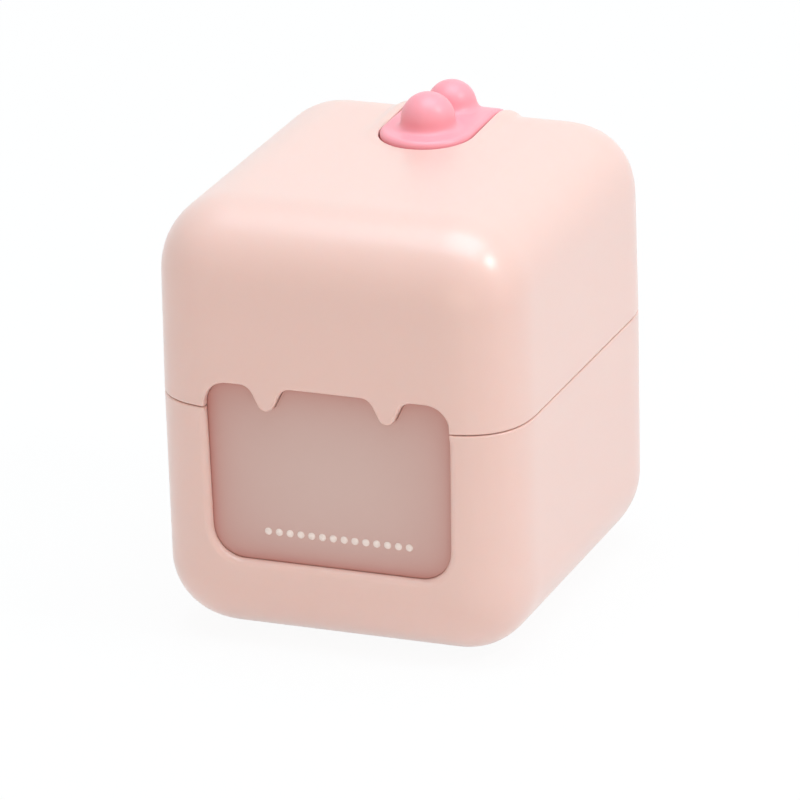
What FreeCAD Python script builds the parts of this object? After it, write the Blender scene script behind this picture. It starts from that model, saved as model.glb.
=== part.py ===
import FreeCAD, Part
import math
import os

# Cotton pad holder with a drawer, millimetres, +Z up.
#
# A soft cube split all round at a parting plane. The lid is hinged at the rear and a push button in
# its top frees it. A drawer for round cotton pads slides out through a front opening that both halves
# share; above the drawer a tray stands up inside the lid. Every piece is built about the cube's
# middle, with z = 0 at the underside of the base, and is moved to the part's origin when it is saved.

V = FreeCAD.Vector

# ---- driving dimensions ----------------------------------------------------------------------
WIDTH = 100.0            # the cube at the parting plane, side to side
DEPTH = 112.6            # front to back
HEIGHT = 116.7           # underside of the base to the top of the lid
PARTING_Z = 64.5         # plane in which lid and base meet
PARTING_GAP = 0.2        # open joint between the two rims
WALL = 2.2
EDGE_RADIUS = 18.0       # upright corners, and the rounding under the base and over the lid
BASE_DRAFT = 0.35        # degrees, narrowing away from the parting plane
LID_DRAFT = 0.5
RIM_BEVEL = 0.4          # bevel on both rims: the fine groove round the cube

# front opening, shared by base and lid
OPENING_SIDE = 16.35     # from its upper edge's end to the cube's side
OPENING_TAPER = 0.9      # each side comes in by this on the way down
OPENING_LOW = 23.35
OPENING_RISE = 7.2       # from the parting plane to its upper edge
OPENING_LOW_RADIUS = 8.8
OPENING_HIGH_RADIUS = 6.4
SILL_ROUND = 1.8         # softened outer edge of the opening in the base
DRIP_ROUND = 0.9         # and in the lid
DRIP_SIDE = 17.15        # two drips hang from the upper edge, this far from its ends
DRIP_LIFT = 0.6          # from the parting plane to their tips
DRIP_TIP_RADIUS = 2.4
DRIP_SHOULDER_RADIUS = 3.7
DRIP_SLOPE = 64.0        # degrees from level

# button in the lid's top: a strip that runs back over the rear rounding, with two balls on it
STRIP_HALF = 12.4
STRIP_LENGTH = 48.3      # from its round front end to the cube's rear face
STRIP_DROP = 24.0        # how far its round rear end reaches below the top of the lid
STRIP_GAP = 0.35         # dark gap round it
COLLAR_RIM = 1.2         # flat rim of the raised collar round the gap
COLLAR_TILT = 2.4        # degrees: the collar rises from nothing at the front end
STRIP_PROUD = 1.6        # the strip stands this far above the lid's plain form
STRIP_EDGE = 1.4         # rounding of its upper edge
CAP_WALL = 2.0
CAP_DEPTH = 3.8          # depth of the cap's skirt below the lid's top
FLANGE_WIDTH = 1.5       # lip that keeps the cap in the lid
FLANGE_GAP = 0.3         # below the lid's ceiling
FRONT_BALL = (13.3, 3.8, 7.15)  # centre behind the front end and above the lid's top, radius
REAR_BALL = (30.6, 2.2, 6.6)
BALL_ROOT = 1.5          # fillet where a ball meets the strip
BUTTON_TRAVEL = 2.0

# hinge
HINGE_OUT = 1.0          # axis behind the rear face at the parting plane
PIN_RADIUS = 1.0
PIN_CLEARANCE = 0.05
KNUCKLE_RADIUS = 3.0
KNUCKLE_CLEARANCE = 0.4
LID_KNUCKLE_HALF = 13.7
BASE_KNUCKLE_LENGTH = 12.0
KNUCKLE_GAP = 0.3
KNUCKLE_ROOT = 7.0       # height of the gusset that carries each knuckle

# drawer
PANEL_RECESS = 2.4       # front panel behind the cube's front face
PANEL_THICKNESS = 2.4
PANEL_GAP = 0.3          # all round the panel
BIN_GAP = 0.9            # all round the bin
BIN_WALL = 1.8
BIN_DROP = 1.5           # its rim below the parting plane
BIN_BACK_ROOM = 11.7     # behind it, to the cube's rear face
PLUG_DEPTH = 4.0         # rib on the panel's back that fits into the bin
PLUG_WALL = 1.6
PLUG_GAP = 0.1
DRAWER_TRAVEL = 70.0
LUG_LENGTH = 3.0         # stop lugs on the bin's sides
LUG_RISE = 26.0          # above the opening's lower edge
LUG_HALF_HEIGHT = 2.0
LUG_REACH = 2.0
LUG_GAP = 0.2

# drawer bay
BAY_WALL = 1.8
BAY_DROP = 0.2           # its rim below the parting plane
BAY_FRONT_GAP = 0.25     # behind the front wall's inner face
BAY_BACK_GAP = 1.4       # between the closed bin and the bay's back wall
RAIL_INSET = 13.1        # from the opening's lower corner to a rail
RAIL_WIDTH = 3.0
RAIL_GAP = 0.2           # below the bin's floor
STOP_SLOT_GAP = 0.3

# tray
TRAY_LIFT = 0.5          # its underside above the parting plane
TRAY_FLOOR = 1.6
TRAY_WALL = 1.6
TRAY_DEPTH = 23.0
TRAY_GAP = 0.6           # to the lid's inner walls
TRAY_FRONT_GAP = 0.5     # behind the drawer's panel
TRAY_CORNER = 14.0
TRAY_DRAFT = 0.5         # degrees
STRIKE_HALF = 7.0        # lip on the front wall that the latch hooks under
STRIKE_DEPTH = 1.3
STRIKE_THICKNESS = 1.2

# latch
LATCH_HALF = 4.5
LATCH_THICKNESS = 2.4
LATCH_ROOM = 0.9         # between the bar and the pressed plunger
LATCH_LIFT = 0.8         # between the bar and the cover
LATCH_OVERLAP = 23.0     # from the strip's front end to the bar's rear end
HOOK_HALF = 5.5
HOOK_THICKNESS = 2.0
HOOK_STRIKE_GAP = 0.6    # between the hook's arm and the lip
NOSE_REACH = 1.5
NOSE_HEIGHT = 2.0
NOSE_GAP = 0.2           # below the lip
WEDGE_BACK = 14.0        # from the strip's front end to the wedge at the bar's mid height
WEDGE_WIDTH = 3.0        # front to back
WEDGE_HALF = 2.0
WEDGE_GAP = 0.15
LATCH_GAP = 0.3          # running gap round the bar
GUIDE_RIB = 1.2

# cover under the mechanism
COVER_HALF = 24.0
COVER_FRONT_GAP = 0.9    # behind the drawn-back hook
COVER_REAR_ROOM = 14.3   # behind it, to the cube's rear face
COVER_THICKNESS = 1.6
COVER_CORNER = 6.0

# plunger and springs
PLUNGER_THICKNESS = 1.6
PLUNGER_INSET = 1.0      # inside the cap's flange
SPRING_X = 9.5
SPRING_BACK = 13.0       # behind the strip's front end
SPRING_RADIUS = 2.2
SPRING_WIRE = 0.25       # radius
SPRING_TURNS = 3.0
SPRING_POST = 1.5

# countersunk screws and their bosses
SCREW_RADIUS = 1.3
SCREW_CLEARANCE = 0.05
SCREW_HEAD_RADIUS = 2.6
SCREW_HEAD_HEIGHT = 1.3
SCREW_LENGTH = 8.0
SHORT_SCREW = 5.0
BOSS_RADIUS = 3.5
BAY_BOSS_INSET = 9.1     # from the opening's lower corner
BAY_BOSS_ROOM = 26.3     # to the cube's front and rear faces
TRAY_BOSS_SIDE = 10.0    # to the cube's sides
TRAY_BOSS_ROOM = 12.3    # to its front and rear faces
COVER_BOSS_INSET = 4.5   # from the cover's sides
COVER_BOSS_ROOM = (6.5, 11.0)  # from its front and rear edges
PLUNGER_POST_BACK = (4.8, 22.2)  # behind the strip's front end
PLUNGER_POST_RADIUS = 2.4

# rubber feet
FOOT_RADIUS = 5.0
FOOT_PROUD = 0.8
FOOT_RECESS = 0.7
FOOT_GAP = 0.1
FOOT_SIDE = 25.0         # to the cube's sides
FOOT_ROOM = 25.3         # to its front and rear faces

# ---- places that follow from them --------------------------------------------------------------
FRONT_Y = -DEPTH / 2
REAR_Y = DEPTH / 2
HINGE_Y = REAR_Y + HINGE_OUT
HINGE_OVERHANG = HINGE_OUT + KNUCKLE_RADIUS
OPENING_HIGH = PARTING_Z + OPENING_RISE
OPENING_HALF_HIGH = WIDTH / 2 - OPENING_SIDE
OPENING_HALF_LOW = OPENING_HALF_HIGH - OPENING_TAPER
DRIP_X = OPENING_HALF_HIGH - DRIP_SIDE
DRIP_LOW = PARTING_Z + DRIP_LIFT
PANEL_FRONT_Y = FRONT_Y + PANEL_RECESS
PANEL_BACK_Y = PANEL_FRONT_Y + PANEL_THICKNESS
BIN_TOP = PARTING_Z - BIN_DROP
BIN_BACK_Y = REAR_Y - BIN_BACK_ROOM
LUG_Z = OPENING_LOW + LUG_RISE
BAY_TOP = PARTING_Z - BAY_DROP
BAY_BACK_Y = BIN_BACK_Y + BAY_BACK_GAP
BAY_FLOOR_Z = OPENING_LOW - BAY_WALL
TRAY_FLOOR_Z = PARTING_Z + TRAY_LIFT
TRAY_TOP = TRAY_FLOOR_Z + TRAY_DEPTH
TRAY_FRONT_Y = PANEL_BACK_Y + TRAY_FRONT_GAP
TRAY_REAR_Y = REAR_Y - WALL - TRAY_GAP - KNUCKLE_CLEARANCE
STRIKE_Y = TRAY_FRONT_Y + TRAY_WALL + STRIKE_DEPTH
HOOK_FRONT_Y = STRIKE_Y + HOOK_STRIKE_GAP
NOSE_TOP = TRAY_TOP - STRIKE_THICKNESS - NOSE_GAP
CEILING_Z = HEIGHT - WALL
FLANGE_TOP = CEILING_Z - FLANGE_GAP
STRIP_FRONT_Y = REAR_Y - STRIP_LENGTH
STRIP_CENTRE_Y = STRIP_FRONT_Y + STRIP_HALF
BEND_Y = REAR_Y - EDGE_RADIUS
PLUNGER_TOP = HEIGHT - CAP_DEPTH
PLUNGER_LOW = PLUNGER_TOP - PLUNGER_THICKNESS
PLUNGER_POST_Y = [STRIP_FRONT_Y + back for back in PLUNGER_POST_BACK]
LATCH_TOP = PLUNGER_LOW - BUTTON_TRAVEL - LATCH_ROOM
LATCH_Z = LATCH_TOP - LATCH_THICKNESS
LATCH_REAR_Y = STRIP_FRONT_Y + LATCH_OVERLAP
COVER_TOP = LATCH_Z - LATCH_LIFT
COVER_LOW = COVER_TOP - COVER_THICKNESS
COVER_FRONT_Y = HOOK_FRONT_Y + HOOK_THICKNESS + BUTTON_TRAVEL + COVER_FRONT_GAP
COVER_REAR_Y = REAR_Y - COVER_REAR_ROOM
COVER_BOSS_X = COVER_HALF - COVER_BOSS_INSET
COVER_BOSS_Y = (COVER_FRONT_Y + COVER_BOSS_ROOM[0], COVER_REAR_Y - COVER_BOSS_ROOM[1])
SPRING_Y = STRIP_FRONT_Y + SPRING_BACK
BAY_BOSS_X = OPENING_HALF_LOW - BAY_BOSS_INSET
BAY_BOSS_Y = DEPTH / 2 - BAY_BOSS_ROOM
TRAY_BOSS_X = WIDTH / 2 - TRAY_BOSS_SIDE
TRAY_BOSS_Y = DEPTH / 2 - TRAY_BOSS_ROOM
FOOT_X = WIDTH / 2 - FOOT_SIDE
FOOT_Y = DEPTH / 2 - FOOT_ROOM
TO_ORIGIN = V(0, -HINGE_OVERHANG / 2, FOOT_PROUD)
FAR = 200.0              # longer than anything here, for cutting tools


# ---- small helpers -------------------------------------------------------------------------------
def box(x_low, x_high, y_low, y_high, z_low, z_high):
    """Block between two values on each axis."""
    return Part.makeBox(x_high - x_low, y_high - y_low, z_high - z_low, V(x_low, y_low, z_low))


def upright(radius, x, y, z_low, z_high):
    """Round bar along Z."""
    return Part.makeCylinder(radius, z_high - z_low, V(x, y, z_low))


def crosswise(radius, y, z, x_low, x_high):
    """Round bar along X."""
    return Part.makeCylinder(radius, x_high - x_low, V(x_low, y, z), V(1, 0, 0))


def joined(shapes):
    """One solid from several that touch or overlap."""
    return shapes[0].multiFuse(shapes[1:]).removeSplitter()


def four_corners(x, y):
    """Places at plus and minus x and y."""
    return [(sx * x, sy * y) for sx in (-1, 1) for sy in (-1, 1)]


def rounded_outline(half_x, y_low, y_high, radius, z):
    """Level wire: a rectangle with round corners, centred across X."""
    middles = [(half_x - radius, y_low + radius, -90), (half_x - radius, y_high - radius, 0),
               (radius - half_x, y_high - radius, 90), (radius - half_x, y_low + radius, 180)]
    arcs = []
    for x, y, start in middles:
        circle = Part.Circle(V(x, y, z), V(0, 0, 1), radius)
        arcs.append(Part.Arc(circle, math.radians(start), math.radians(start + 90)).toShape())
    edges = []
    for arc, following in zip(arcs, arcs[1:] + arcs[:1]):
        edges += [arc, Part.makeLine(arc.lastVertex().Point, following.firstVertex().Point)]
    return Part.Wire(Part.__sortEdges__(edges))


def edges_at(solid, z):
    """Edges that lie wholly in the level plane at z."""
    return [edge for edge in solid.Edges
            if abs(edge.BoundBox.ZMin - z) < 0.001 and abs(edge.BoundBox.ZMax - z) < 0.001]


def shared_edges(solid, first, second):
    """Edges of the solid whose middle lies on the surfaces of both other shapes."""
    found = []
    for edge in solid.Edges:
        middle = Part.Vertex(edge.valueAt((edge.FirstParameter + edge.LastParameter) / 2))
        if all(middle.distToShape(shell)[0] < 0.001 for shell in (first.Shells[0], second.Shells[0])):
            found.append(edge)
    return found


def frustum(x_span, y_span, z, far_z, shrink):
    """Block between two levels whose four sides lean in by shrink on the way to far_z."""
    rings = []
    for level, taken in sorted([(z, 0.0), (far_z, shrink)]):
        x_low, x_high = x_span[0] + taken, x_span[1] - taken
        y_low, y_high = y_span[0] + taken, y_span[1] - taken
        rings.append([V(x_low, y_low, level), V(x_high, y_low, level),
                      V(x_high, y_high, level), V(x_low, y_high, level)])
    low, high = rings
    loops = [low[::-1], high]
    for i in range(4):
        j = (i + 1) % 4
        loops.append([low[i], low[j], high[j], high[i]])
    faces = [Part.Face(Part.makePolygon(loop + loop[:1])) for loop in loops]
    return Part.Solid(Part.Shell(faces))


# ---- outer form -----------------------------------------------------------------------------------
def soft_half(end_z, draft, inset=0.0):
    """Half of the soft cube as a filled solid, from its rim by the parting plane to end_z.

    A positive inset gives the hollow inside a wall of that thickness, a negative one a larger form.
    """
    side = 1 if end_z > PARTING_Z else -1
    rim_z = PARTING_Z + side * PARTING_GAP / 2
    far_z = end_z - side * inset
    shrink = abs(far_z - rim_z) * math.tan(math.radians(draft))
    half_x = WIDTH / 2 - inset
    solid = frustum((-half_x, half_x), (FRONT_Y + inset, REAR_Y - inset), rim_z, far_z, shrink)
    rim = [edge.CenterOfMass for edge in edges_at(solid, rim_z)]
    edges = [edge for edge in solid.Edges if all((edge.CenterOfMass - m).Length > 1 for m in rim)]
    return solid.makeFillet(EDGE_RADIUS - inset, edges)


def base_form(inset=0.0):
    """Filled form of the base."""
    return soft_half(0.0, BASE_DRAFT, inset)


def lid_form(inset=0.0):
    """Filled form of the lid."""
    return soft_half(HEIGHT, LID_DRAFT, inset)


def bevelled_rim(solid, rim_z):
    """The solid with a small bevel round its rim, half of the groove between lid and base."""
    return solid.makeChamfer(RIM_BEVEL, edges_at(solid, rim_z))


# ---- front opening -----------------------------------------------------------------------------
def drip_corners():
    """Corners of the right-hand drip, each x, z and radius."""
    slope = math.tan(math.radians(DRIP_SLOPE))
    tip = DRIP_LOW + DRIP_TIP_RADIUS - DRIP_TIP_RADIUS / math.cos(math.radians(DRIP_SLOPE))
    spread = (OPENING_HIGH - tip) / slope
    return [(DRIP_X - spread, OPENING_HIGH, DRIP_SHOULDER_RADIUS),
            (DRIP_X, tip, DRIP_TIP_RADIUS),
            (DRIP_X + spread, OPENING_HIGH, DRIP_SHOULDER_RADIUS)]


def side_corners():
    """Upper and lower corner of the opening's right side, each x, z and radius."""
    return [(OPENING_HALF_HIGH, OPENING_HIGH, OPENING_HIGH_RADIUS),
            (OPENING_HALF_LOW, OPENING_LOW, OPENING_LOW_RADIUS)]


def mirrored_prism(right, y_low, y_high, offset):
    """Solid whose outline has the given corners and their mirror images, grown by offset."""
    corners = right + [(-x, z, radius) for x, z, radius in reversed(right)]
    points = [V(x, y_low, z) for x, z, radius in corners]
    prism = Part.Face(Part.makePolygon(points + points[:1])).extrude(V(0, y_high - y_low, 0))
    for x, z, radius in corners:
        edge = min(prism.Edges, key=lambda e: (e.CenterOfMass - V(x, (y_low + y_high) / 2, z)).Length)
        prism = prism.makeFillet(radius, [edge])
    if offset:
        outline = min(prism.Faces, key=lambda face: face.CenterOfMass.y).OuterWire
        grown = Part.Face(outline.makeOffset2D(offset))
        prism = grown.extrude(V(0, y_high - y_low, 0))
    return prism


def opening_prism(y_low, y_high, offset=0.0):
    """Solid with the opening's outline, drips included."""
    return mirrored_prism(drip_corners() + side_corners(), y_low, y_high, offset)


def channel_prism(y_low, y_high, offset, top):
    """Solid with the opening's sides and floor that ends level at the given height."""
    prism = mirrored_prism(side_corners(), y_low, y_high, offset)
    return prism.common(box(-FAR, FAR, -FAR, FAR, -FAR, top))


# ---- strip in the lid's top --------------------------------------------------------------------
def strip_column(offset=0.0, drop=0.0):
    """Cutting solid of the strip: seen from above it has a round front end, from behind a round
    rear end. It grows by offset, and its rear end also reaches lower by drop.
    """
    half = STRIP_HALF + offset
    rear_z = HEIGHT - STRIP_DROP + STRIP_HALF - drop
    front = upright(half, 0, STRIP_CENTRE_Y, HEIGHT - STRIP_DROP, HEIGHT + FAR)
    middle = box(-half, half, STRIP_CENTRE_Y, BEND_Y, HEIGHT - STRIP_DROP, HEIGHT + FAR)
    rear = box(-half, half, BEND_Y, REAR_Y + STRIP_HALF, rear_z, HEIGHT + FAR)
    rear_end = Part.makeCylinder(half, REAR_Y + STRIP_HALF - BEND_Y, V(0, BEND_Y, rear_z), V(0, 1, 0))
    return joined([front, middle, rear, rear_end])


def tilted(solid):
    """The solid turned about the strip's front end, so that its top rises towards the rear."""
    turned = solid.copy()
    turned.rotate(V(0, STRIP_FRONT_Y, HEIGHT), V(1, 0, 0), COLLAR_TILT)
    return turned


# ---- hinge -------------------------------------------------------------------------------------
def knuckle(x_low, x_high, side):
    """Hinge knuckle and the gusset that carries it: side 1 hangs it on the lid, -1 on the base."""
    barrel = crosswise(KNUCKLE_RADIUS, HINGE_Y, PARTING_Z, x_low, x_high)
    root_z = PARTING_Z + side * KNUCKLE_ROOT
    wall_y = REAR_Y - WALL / 2
    lean = math.atan2(KNUCKLE_ROOT, HINGE_Y - wall_y)
    tangent = V(0, HINGE_Y + KNUCKLE_RADIUS * math.sin(lean),
                PARTING_Z + side * KNUCKLE_RADIUS * math.cos(lean))
    profile = [V(0, wall_y, PARTING_Z), V(0, HINGE_Y, PARTING_Z), tangent, V(0, wall_y, root_z)]
    gusset = Part.Face(Part.makePolygon(profile + profile[:1])).extrude(V(x_high - x_low, 0, 0))
    gusset.translate(V(x_low, 0, 0))
    return joined([barrel, gusset])


def base_knuckle_spans():
    """The two stretches along X that the base's knuckles take."""
    low = LID_KNUCKLE_HALF + KNUCKLE_GAP
    return [(-low - BASE_KNUCKLE_LENGTH, -low), (low, low + BASE_KNUCKLE_LENGTH)]


def knuckle_room(x_low, x_high):
    """Space that a knuckle of the other half turns in."""
    reach = KNUCKLE_RADIUS + KNUCKLE_CLEARANCE
    return crosswise(reach, HINGE_Y, PARTING_Z, x_low - KNUCKLE_GAP, x_high + KNUCKLE_GAP)


def hinge_bore():
    """Bore through all knuckles."""
    return crosswise(PIN_RADIUS + PIN_CLEARANCE, HINGE_Y, PARTING_Z, -FAR / 4, FAR / 4)


def make_hinge_pin():
    """Steel pin through the knuckles."""
    reach = LID_KNUCKLE_HALF + KNUCKLE_GAP + BASE_KNUCKLE_LENGTH
    return crosswise(PIN_RADIUS, HINGE_Y, PARTING_Z, -reach, reach)


# ---- screws ------------------------------------------------------------------------------------
def countersunk_screw(x, y, face_z, length, down=1):
    """Screw whose flat head lies in the face at face_z; down -1 drives it upwards."""
    head = Part.makeCone(SCREW_HEAD_RADIUS, SCREW_RADIUS, SCREW_HEAD_HEIGHT,
                         V(x, y, face_z), V(0, 0, -down))
    shank = Part.makeCylinder(SCREW_RADIUS, length, V(x, y, face_z), V(0, 0, -down))
    return joined([head, shank])


def screw_hole(x, y, face_z, length, down=1):
    """Countersunk clearance hole and pilot bore for one screw, a little deeper than the screw."""
    head = Part.makeCone(SCREW_HEAD_RADIUS + SCREW_CLEARANCE, SCREW_RADIUS + SCREW_CLEARANCE,
                         SCREW_HEAD_HEIGHT, V(x, y, face_z), V(0, 0, -down))
    shank = Part.makeCylinder(SCREW_RADIUS + SCREW_CLEARANCE, length + SCREW_CLEARANCE,
                              V(x, y, face_z), V(0, 0, -down))
    return joined([head, shank])


def bay_screw_places():
    """Screws that hold the drawer bay: x, y, height of the seat, length, direction."""
    return [(x, y, OPENING_LOW, SCREW_LENGTH, 1) for x, y in four_corners(BAY_BOSS_X, BAY_BOSS_Y)]


def tray_screw_places():
    """Screws that hold the tray."""
    seat = TRAY_FLOOR_Z + TRAY_FLOOR
    return [(x, y, seat, SCREW_LENGTH, 1) for x, y in four_corners(TRAY_BOSS_X, TRAY_BOSS_Y)]


def cover_screw_places():
    """Screws that hold the latch cover, driven upwards."""
    return [(x, y, COVER_LOW, SCREW_LENGTH, -1) for x in (-COVER_BOSS_X, COVER_BOSS_X) for y in COVER_BOSS_Y]


def plunger_screw_places():
    """Screws that hold the plunger to the cap, driven upwards."""
    return [(0, y, PLUNGER_LOW, SHORT_SCREW, -1) for y in PLUNGER_POST_Y]


def screws(places):
    """Group of separate screws."""
    return Part.Compound([countersunk_screw(*place) for place in places])


def screw_holes(places):
    """Group of the holes for them."""
    return Part.Compound([screw_hole(*place) for place in places])


# ---- base --------------------------------------------------------------------------------------
def softened_opening(shell, radius, z_low, z_high):
    """The shell with the opening's outer edge rounded between two heights."""
    reach = OPENING_HALF_HIGH + radius
    window = box(-reach, reach, FRONT_Y - 1, FRONT_Y + WALL / 2, z_low, z_high)
    edges = [edge for edge in shell.Edges if window.isInside(edge.CenterOfMass, 0.01, True)
             and edge.Length > radius and edge.BoundBox.ZLength + edge.BoundBox.XLength > 0.1
             and edge.BoundBox.YMax < FRONT_Y + WALL / 2]
    return shell.makeFillet(radius, edges)


def tray_boss(x, y):
    """Tall boss in a corner of the base, blended into the rounded floor."""
    foot = upright(BOSS_RADIUS, x, y, 0, PARTING_Z).common(base_form(WALL / 2))
    return joined([foot, upright(BOSS_RADIUS, x, y, PARTING_Z - BOSS_RADIUS, TRAY_FLOOR_Z)])


def make_base_shell():
    """Lower shell with its half of the opening, screw bosses, foot recesses and hinge knuckles."""
    rim_z = PARTING_Z - PARTING_GAP / 2
    shell = bevelled_rim(base_form(), rim_z).cut(base_form(WALL))
    shell = shell.cut(opening_prism(FRONT_Y - WALL, FRONT_Y + 2 * WALL))
    shell = softened_opening(shell, SILL_ROUND, OPENING_LOW - 1, rim_z - RIM_BEVEL)
    bosses = [upright(BOSS_RADIUS, x, y, WALL / 2, BAY_FLOOR_Z)
              for x, y in four_corners(BAY_BOSS_X, BAY_BOSS_Y)]
    bosses += [tray_boss(x, y) for x, y in four_corners(TRAY_BOSS_X, TRAY_BOSS_Y)]
    shell = shell.cut(knuckle_room(-LID_KNUCKLE_HALF, LID_KNUCKLE_HALF))
    knuckles = [knuckle(low, high, -1) for low, high in base_knuckle_spans()]
    shell = joined([shell] + bosses + knuckles)
    recess = FOOT_RADIUS + FOOT_GAP
    tools = [upright(recess, x, y, -1, FOOT_RECESS) for x, y in four_corners(FOOT_X, FOOT_Y)]
    tools += [hinge_bore(), screw_holes(bay_screw_places()), screw_holes(tray_screw_places())]
    return shell.cut(tools)


def make_foot(x, y):
    """Rubber foot in its recess."""
    return upright(FOOT_RADIUS, x, y, -FOOT_PROUD, FOOT_RECESS)


# ---- drawer and the bay it runs in ---------------------------------------------------------------
def make_drawer_bay():
    """Channel round the drawer: rails on its floor, a back wall and slots for the stop lugs."""
    outer = channel_prism(FRONT_Y, BAY_BACK_Y + BAY_WALL, BAY_WALL, BAY_TOP)
    inner = channel_prism(FRONT_Y - 1, BAY_BACK_Y, 0.0, BAY_TOP + 1)
    channel = outer.common(base_form(WALL + BAY_FRONT_GAP)).cut(inner)
    rail_top = OPENING_LOW + BIN_GAP - RAIL_GAP
    rail_x = OPENING_HALF_LOW - RAIL_INSET
    rails = [box(x - RAIL_WIDTH / 2, x + RAIL_WIDTH / 2, PANEL_BACK_Y, BAY_BACK_Y + 1,
                 OPENING_LOW - BAY_WALL / 2, rail_top) for x in (-rail_x, rail_x)]
    slot_front = BIN_BACK_Y - LUG_LENGTH - DRAWER_TRAVEL - STOP_SLOT_GAP
    slot_half = LUG_HALF_HEIGHT + LUG_GAP
    slots = box(-FAR, FAR, slot_front, BIN_BACK_Y + STOP_SLOT_GAP, LUG_Z - slot_half, LUG_Z + slot_half)
    holes = screw_holes(bay_screw_places())
    return joined([channel] + rails).cut([slots, holes])


def make_drawer_bin():
    """Open box for the pads, its front end left open for the panel, with a stop lug each side."""
    outer = channel_prism(PANEL_BACK_Y, BIN_BACK_Y, -BIN_GAP, BIN_TOP)
    inner = channel_prism(PANEL_BACK_Y - 1, BIN_BACK_Y - BIN_WALL, -BIN_GAP - BIN_WALL, BIN_TOP + 1)
    reach = OPENING_HALF_HIGH - BIN_GAP + LUG_REACH
    lugs = box(-reach, reach, BIN_BACK_Y - LUG_LENGTH, BIN_BACK_Y,
               LUG_Z - LUG_HALF_HEIGHT, LUG_Z + LUG_HALF_HEIGHT)
    return joined([outer, lugs]).cut(inner)


def make_drawer_front():
    """Frosted panel with scallops for the drips and a rib behind that plugs into the bin."""
    panel = opening_prism(PANEL_FRONT_Y, PANEL_BACK_Y, -PANEL_GAP)
    seat = -BIN_GAP - BIN_WALL - PLUG_GAP
    outer = channel_prism(PANEL_BACK_Y, PANEL_BACK_Y + PLUG_DEPTH, seat, BIN_TOP - PLUG_WALL)
    inner = channel_prism(PANEL_BACK_Y, PANEL_BACK_Y + PLUG_DEPTH, seat - PLUG_WALL, BIN_TOP)
    return joined([panel, outer.cut(inner)])


# ---- tray --------------------------------------------------------------------------------------
def tray_block(inset, z_low):
    """Filled form of the tray from a level to its top, narrowing upwards."""
    lean = math.tan(math.radians(TRAY_DRAFT))
    taken = inset + (z_low - TRAY_FLOOR_Z) * lean
    half = WIDTH / 2 - WALL - TRAY_GAP - taken
    block = frustum((-half, half), (TRAY_FRONT_Y + taken, TRAY_REAR_Y - taken), z_low, TRAY_TOP,
                    (TRAY_TOP - z_low) * lean)
    uprights = [edge for edge in block.Edges if edge.BoundBox.ZLength > 1]
    return block.makeFillet(TRAY_CORNER - inset, uprights)


def make_swab_tray():
    """Tray that closes the base from above and stands up inside the lid, with the latch's lip."""
    floor_top = TRAY_FLOOR_Z + TRAY_FLOOR
    tray = tray_block(0.0, TRAY_FLOOR_Z).cut(tray_block(TRAY_WALL, floor_top))
    lip = box(-STRIKE_HALF, STRIKE_HALF, TRAY_FRONT_Y + TRAY_WALL / 2, STRIKE_Y,
              TRAY_TOP - STRIKE_THICKNESS, TRAY_TOP)
    return joined([tray, lip]).cut(screw_holes(tray_screw_places()))


# ---- lid ---------------------------------------------------------------------------------------
def make_lid_shell():
    """Upper shell with the drips, the raised collar, the button's slot and the mechanism's bosses."""
    rim_z = PARTING_Z + PARTING_GAP / 2
    outer = bevelled_rim(lid_form(), rim_z)
    raised = tilted(lid_form()).common(strip_column(STRIP_GAP + COLLAR_RIM))
    raised = raised.cut(box(-FAR, FAR, -FAR, FAR, 0, HEIGHT - STRIP_DROP - STRIP_HALF))
    shell = joined([outer, raised]).cut(lid_form(WALL))
    shell = shell.cut(opening_prism(FRONT_Y - WALL, FRONT_Y + 2 * WALL))
    shell = softened_opening(shell, DRIP_ROUND, rim_z + RIM_BEVEL, OPENING_HIGH + 1)
    bosses = [upright(BOSS_RADIUS, x, y, COVER_TOP, CEILING_Z + WALL / 2)
              for x in (-COVER_BOSS_X, COVER_BOSS_X) for y in COVER_BOSS_Y]
    rib_low = LATCH_TOP + LATCH_GAP
    ribs = [box(-LATCH_HALF, LATCH_HALF, y, y + GUIDE_RIB, rib_low, CEILING_Z + WALL / 2)
            for y in (-HOOK_HALF * 6, -HOOK_HALF)]
    shell = shell.cut([knuckle_room(low, high) for low, high in base_knuckle_spans()])
    shell = joined([shell, knuckle(-LID_KNUCKLE_HALF, LID_KNUCKLE_HALF, 1)] + bosses + ribs)
    tools = [strip_column(STRIP_GAP, BUTTON_TRAVEL), hinge_bore(), screw_holes(cover_screw_places())]
    return shell.cut(tools)


def make_latch_cover():
    """Plate under the mechanism, with ribs that guide the latch and a hole for the wedge."""
    outline = rounded_outline(COVER_HALF, COVER_FRONT_Y, COVER_REAR_Y, COVER_CORNER, COVER_LOW)
    plate = Part.Face(outline).extrude(V(0, 0, COVER_THICKNESS))
    rib_in = LATCH_HALF + LATCH_GAP
    rib_rear = LATCH_REAR_Y + BUTTON_TRAVEL
    rib_top = PLUNGER_LOW - BUTTON_TRAVEL - LATCH_GAP
    ribs = [box(x, x + GUIDE_RIB, COVER_FRONT_Y, rib_rear, COVER_LOW, rib_top)
            for x in (rib_in, -rib_in - GUIDE_RIB)]
    hole_half = WEDGE_HALF + LATCH_GAP
    hole_y = wedge_y(COVER_LOW)
    hole = box(-hole_half, hole_half, hole_y - WEDGE_WIDTH, hole_y + 2 * WEDGE_WIDTH, 0, COVER_TOP)
    return joined([plate] + ribs).cut([hole, screw_holes(cover_screw_places())])


# ---- latch -------------------------------------------------------------------------------------
def wedge_y(z):
    """Middle of the slanted wedge, front to back, at a height: it leans back at 45 degrees."""
    return STRIP_FRONT_Y + WEDGE_BACK + z - (LATCH_Z + LATCH_TOP) / 2


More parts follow.
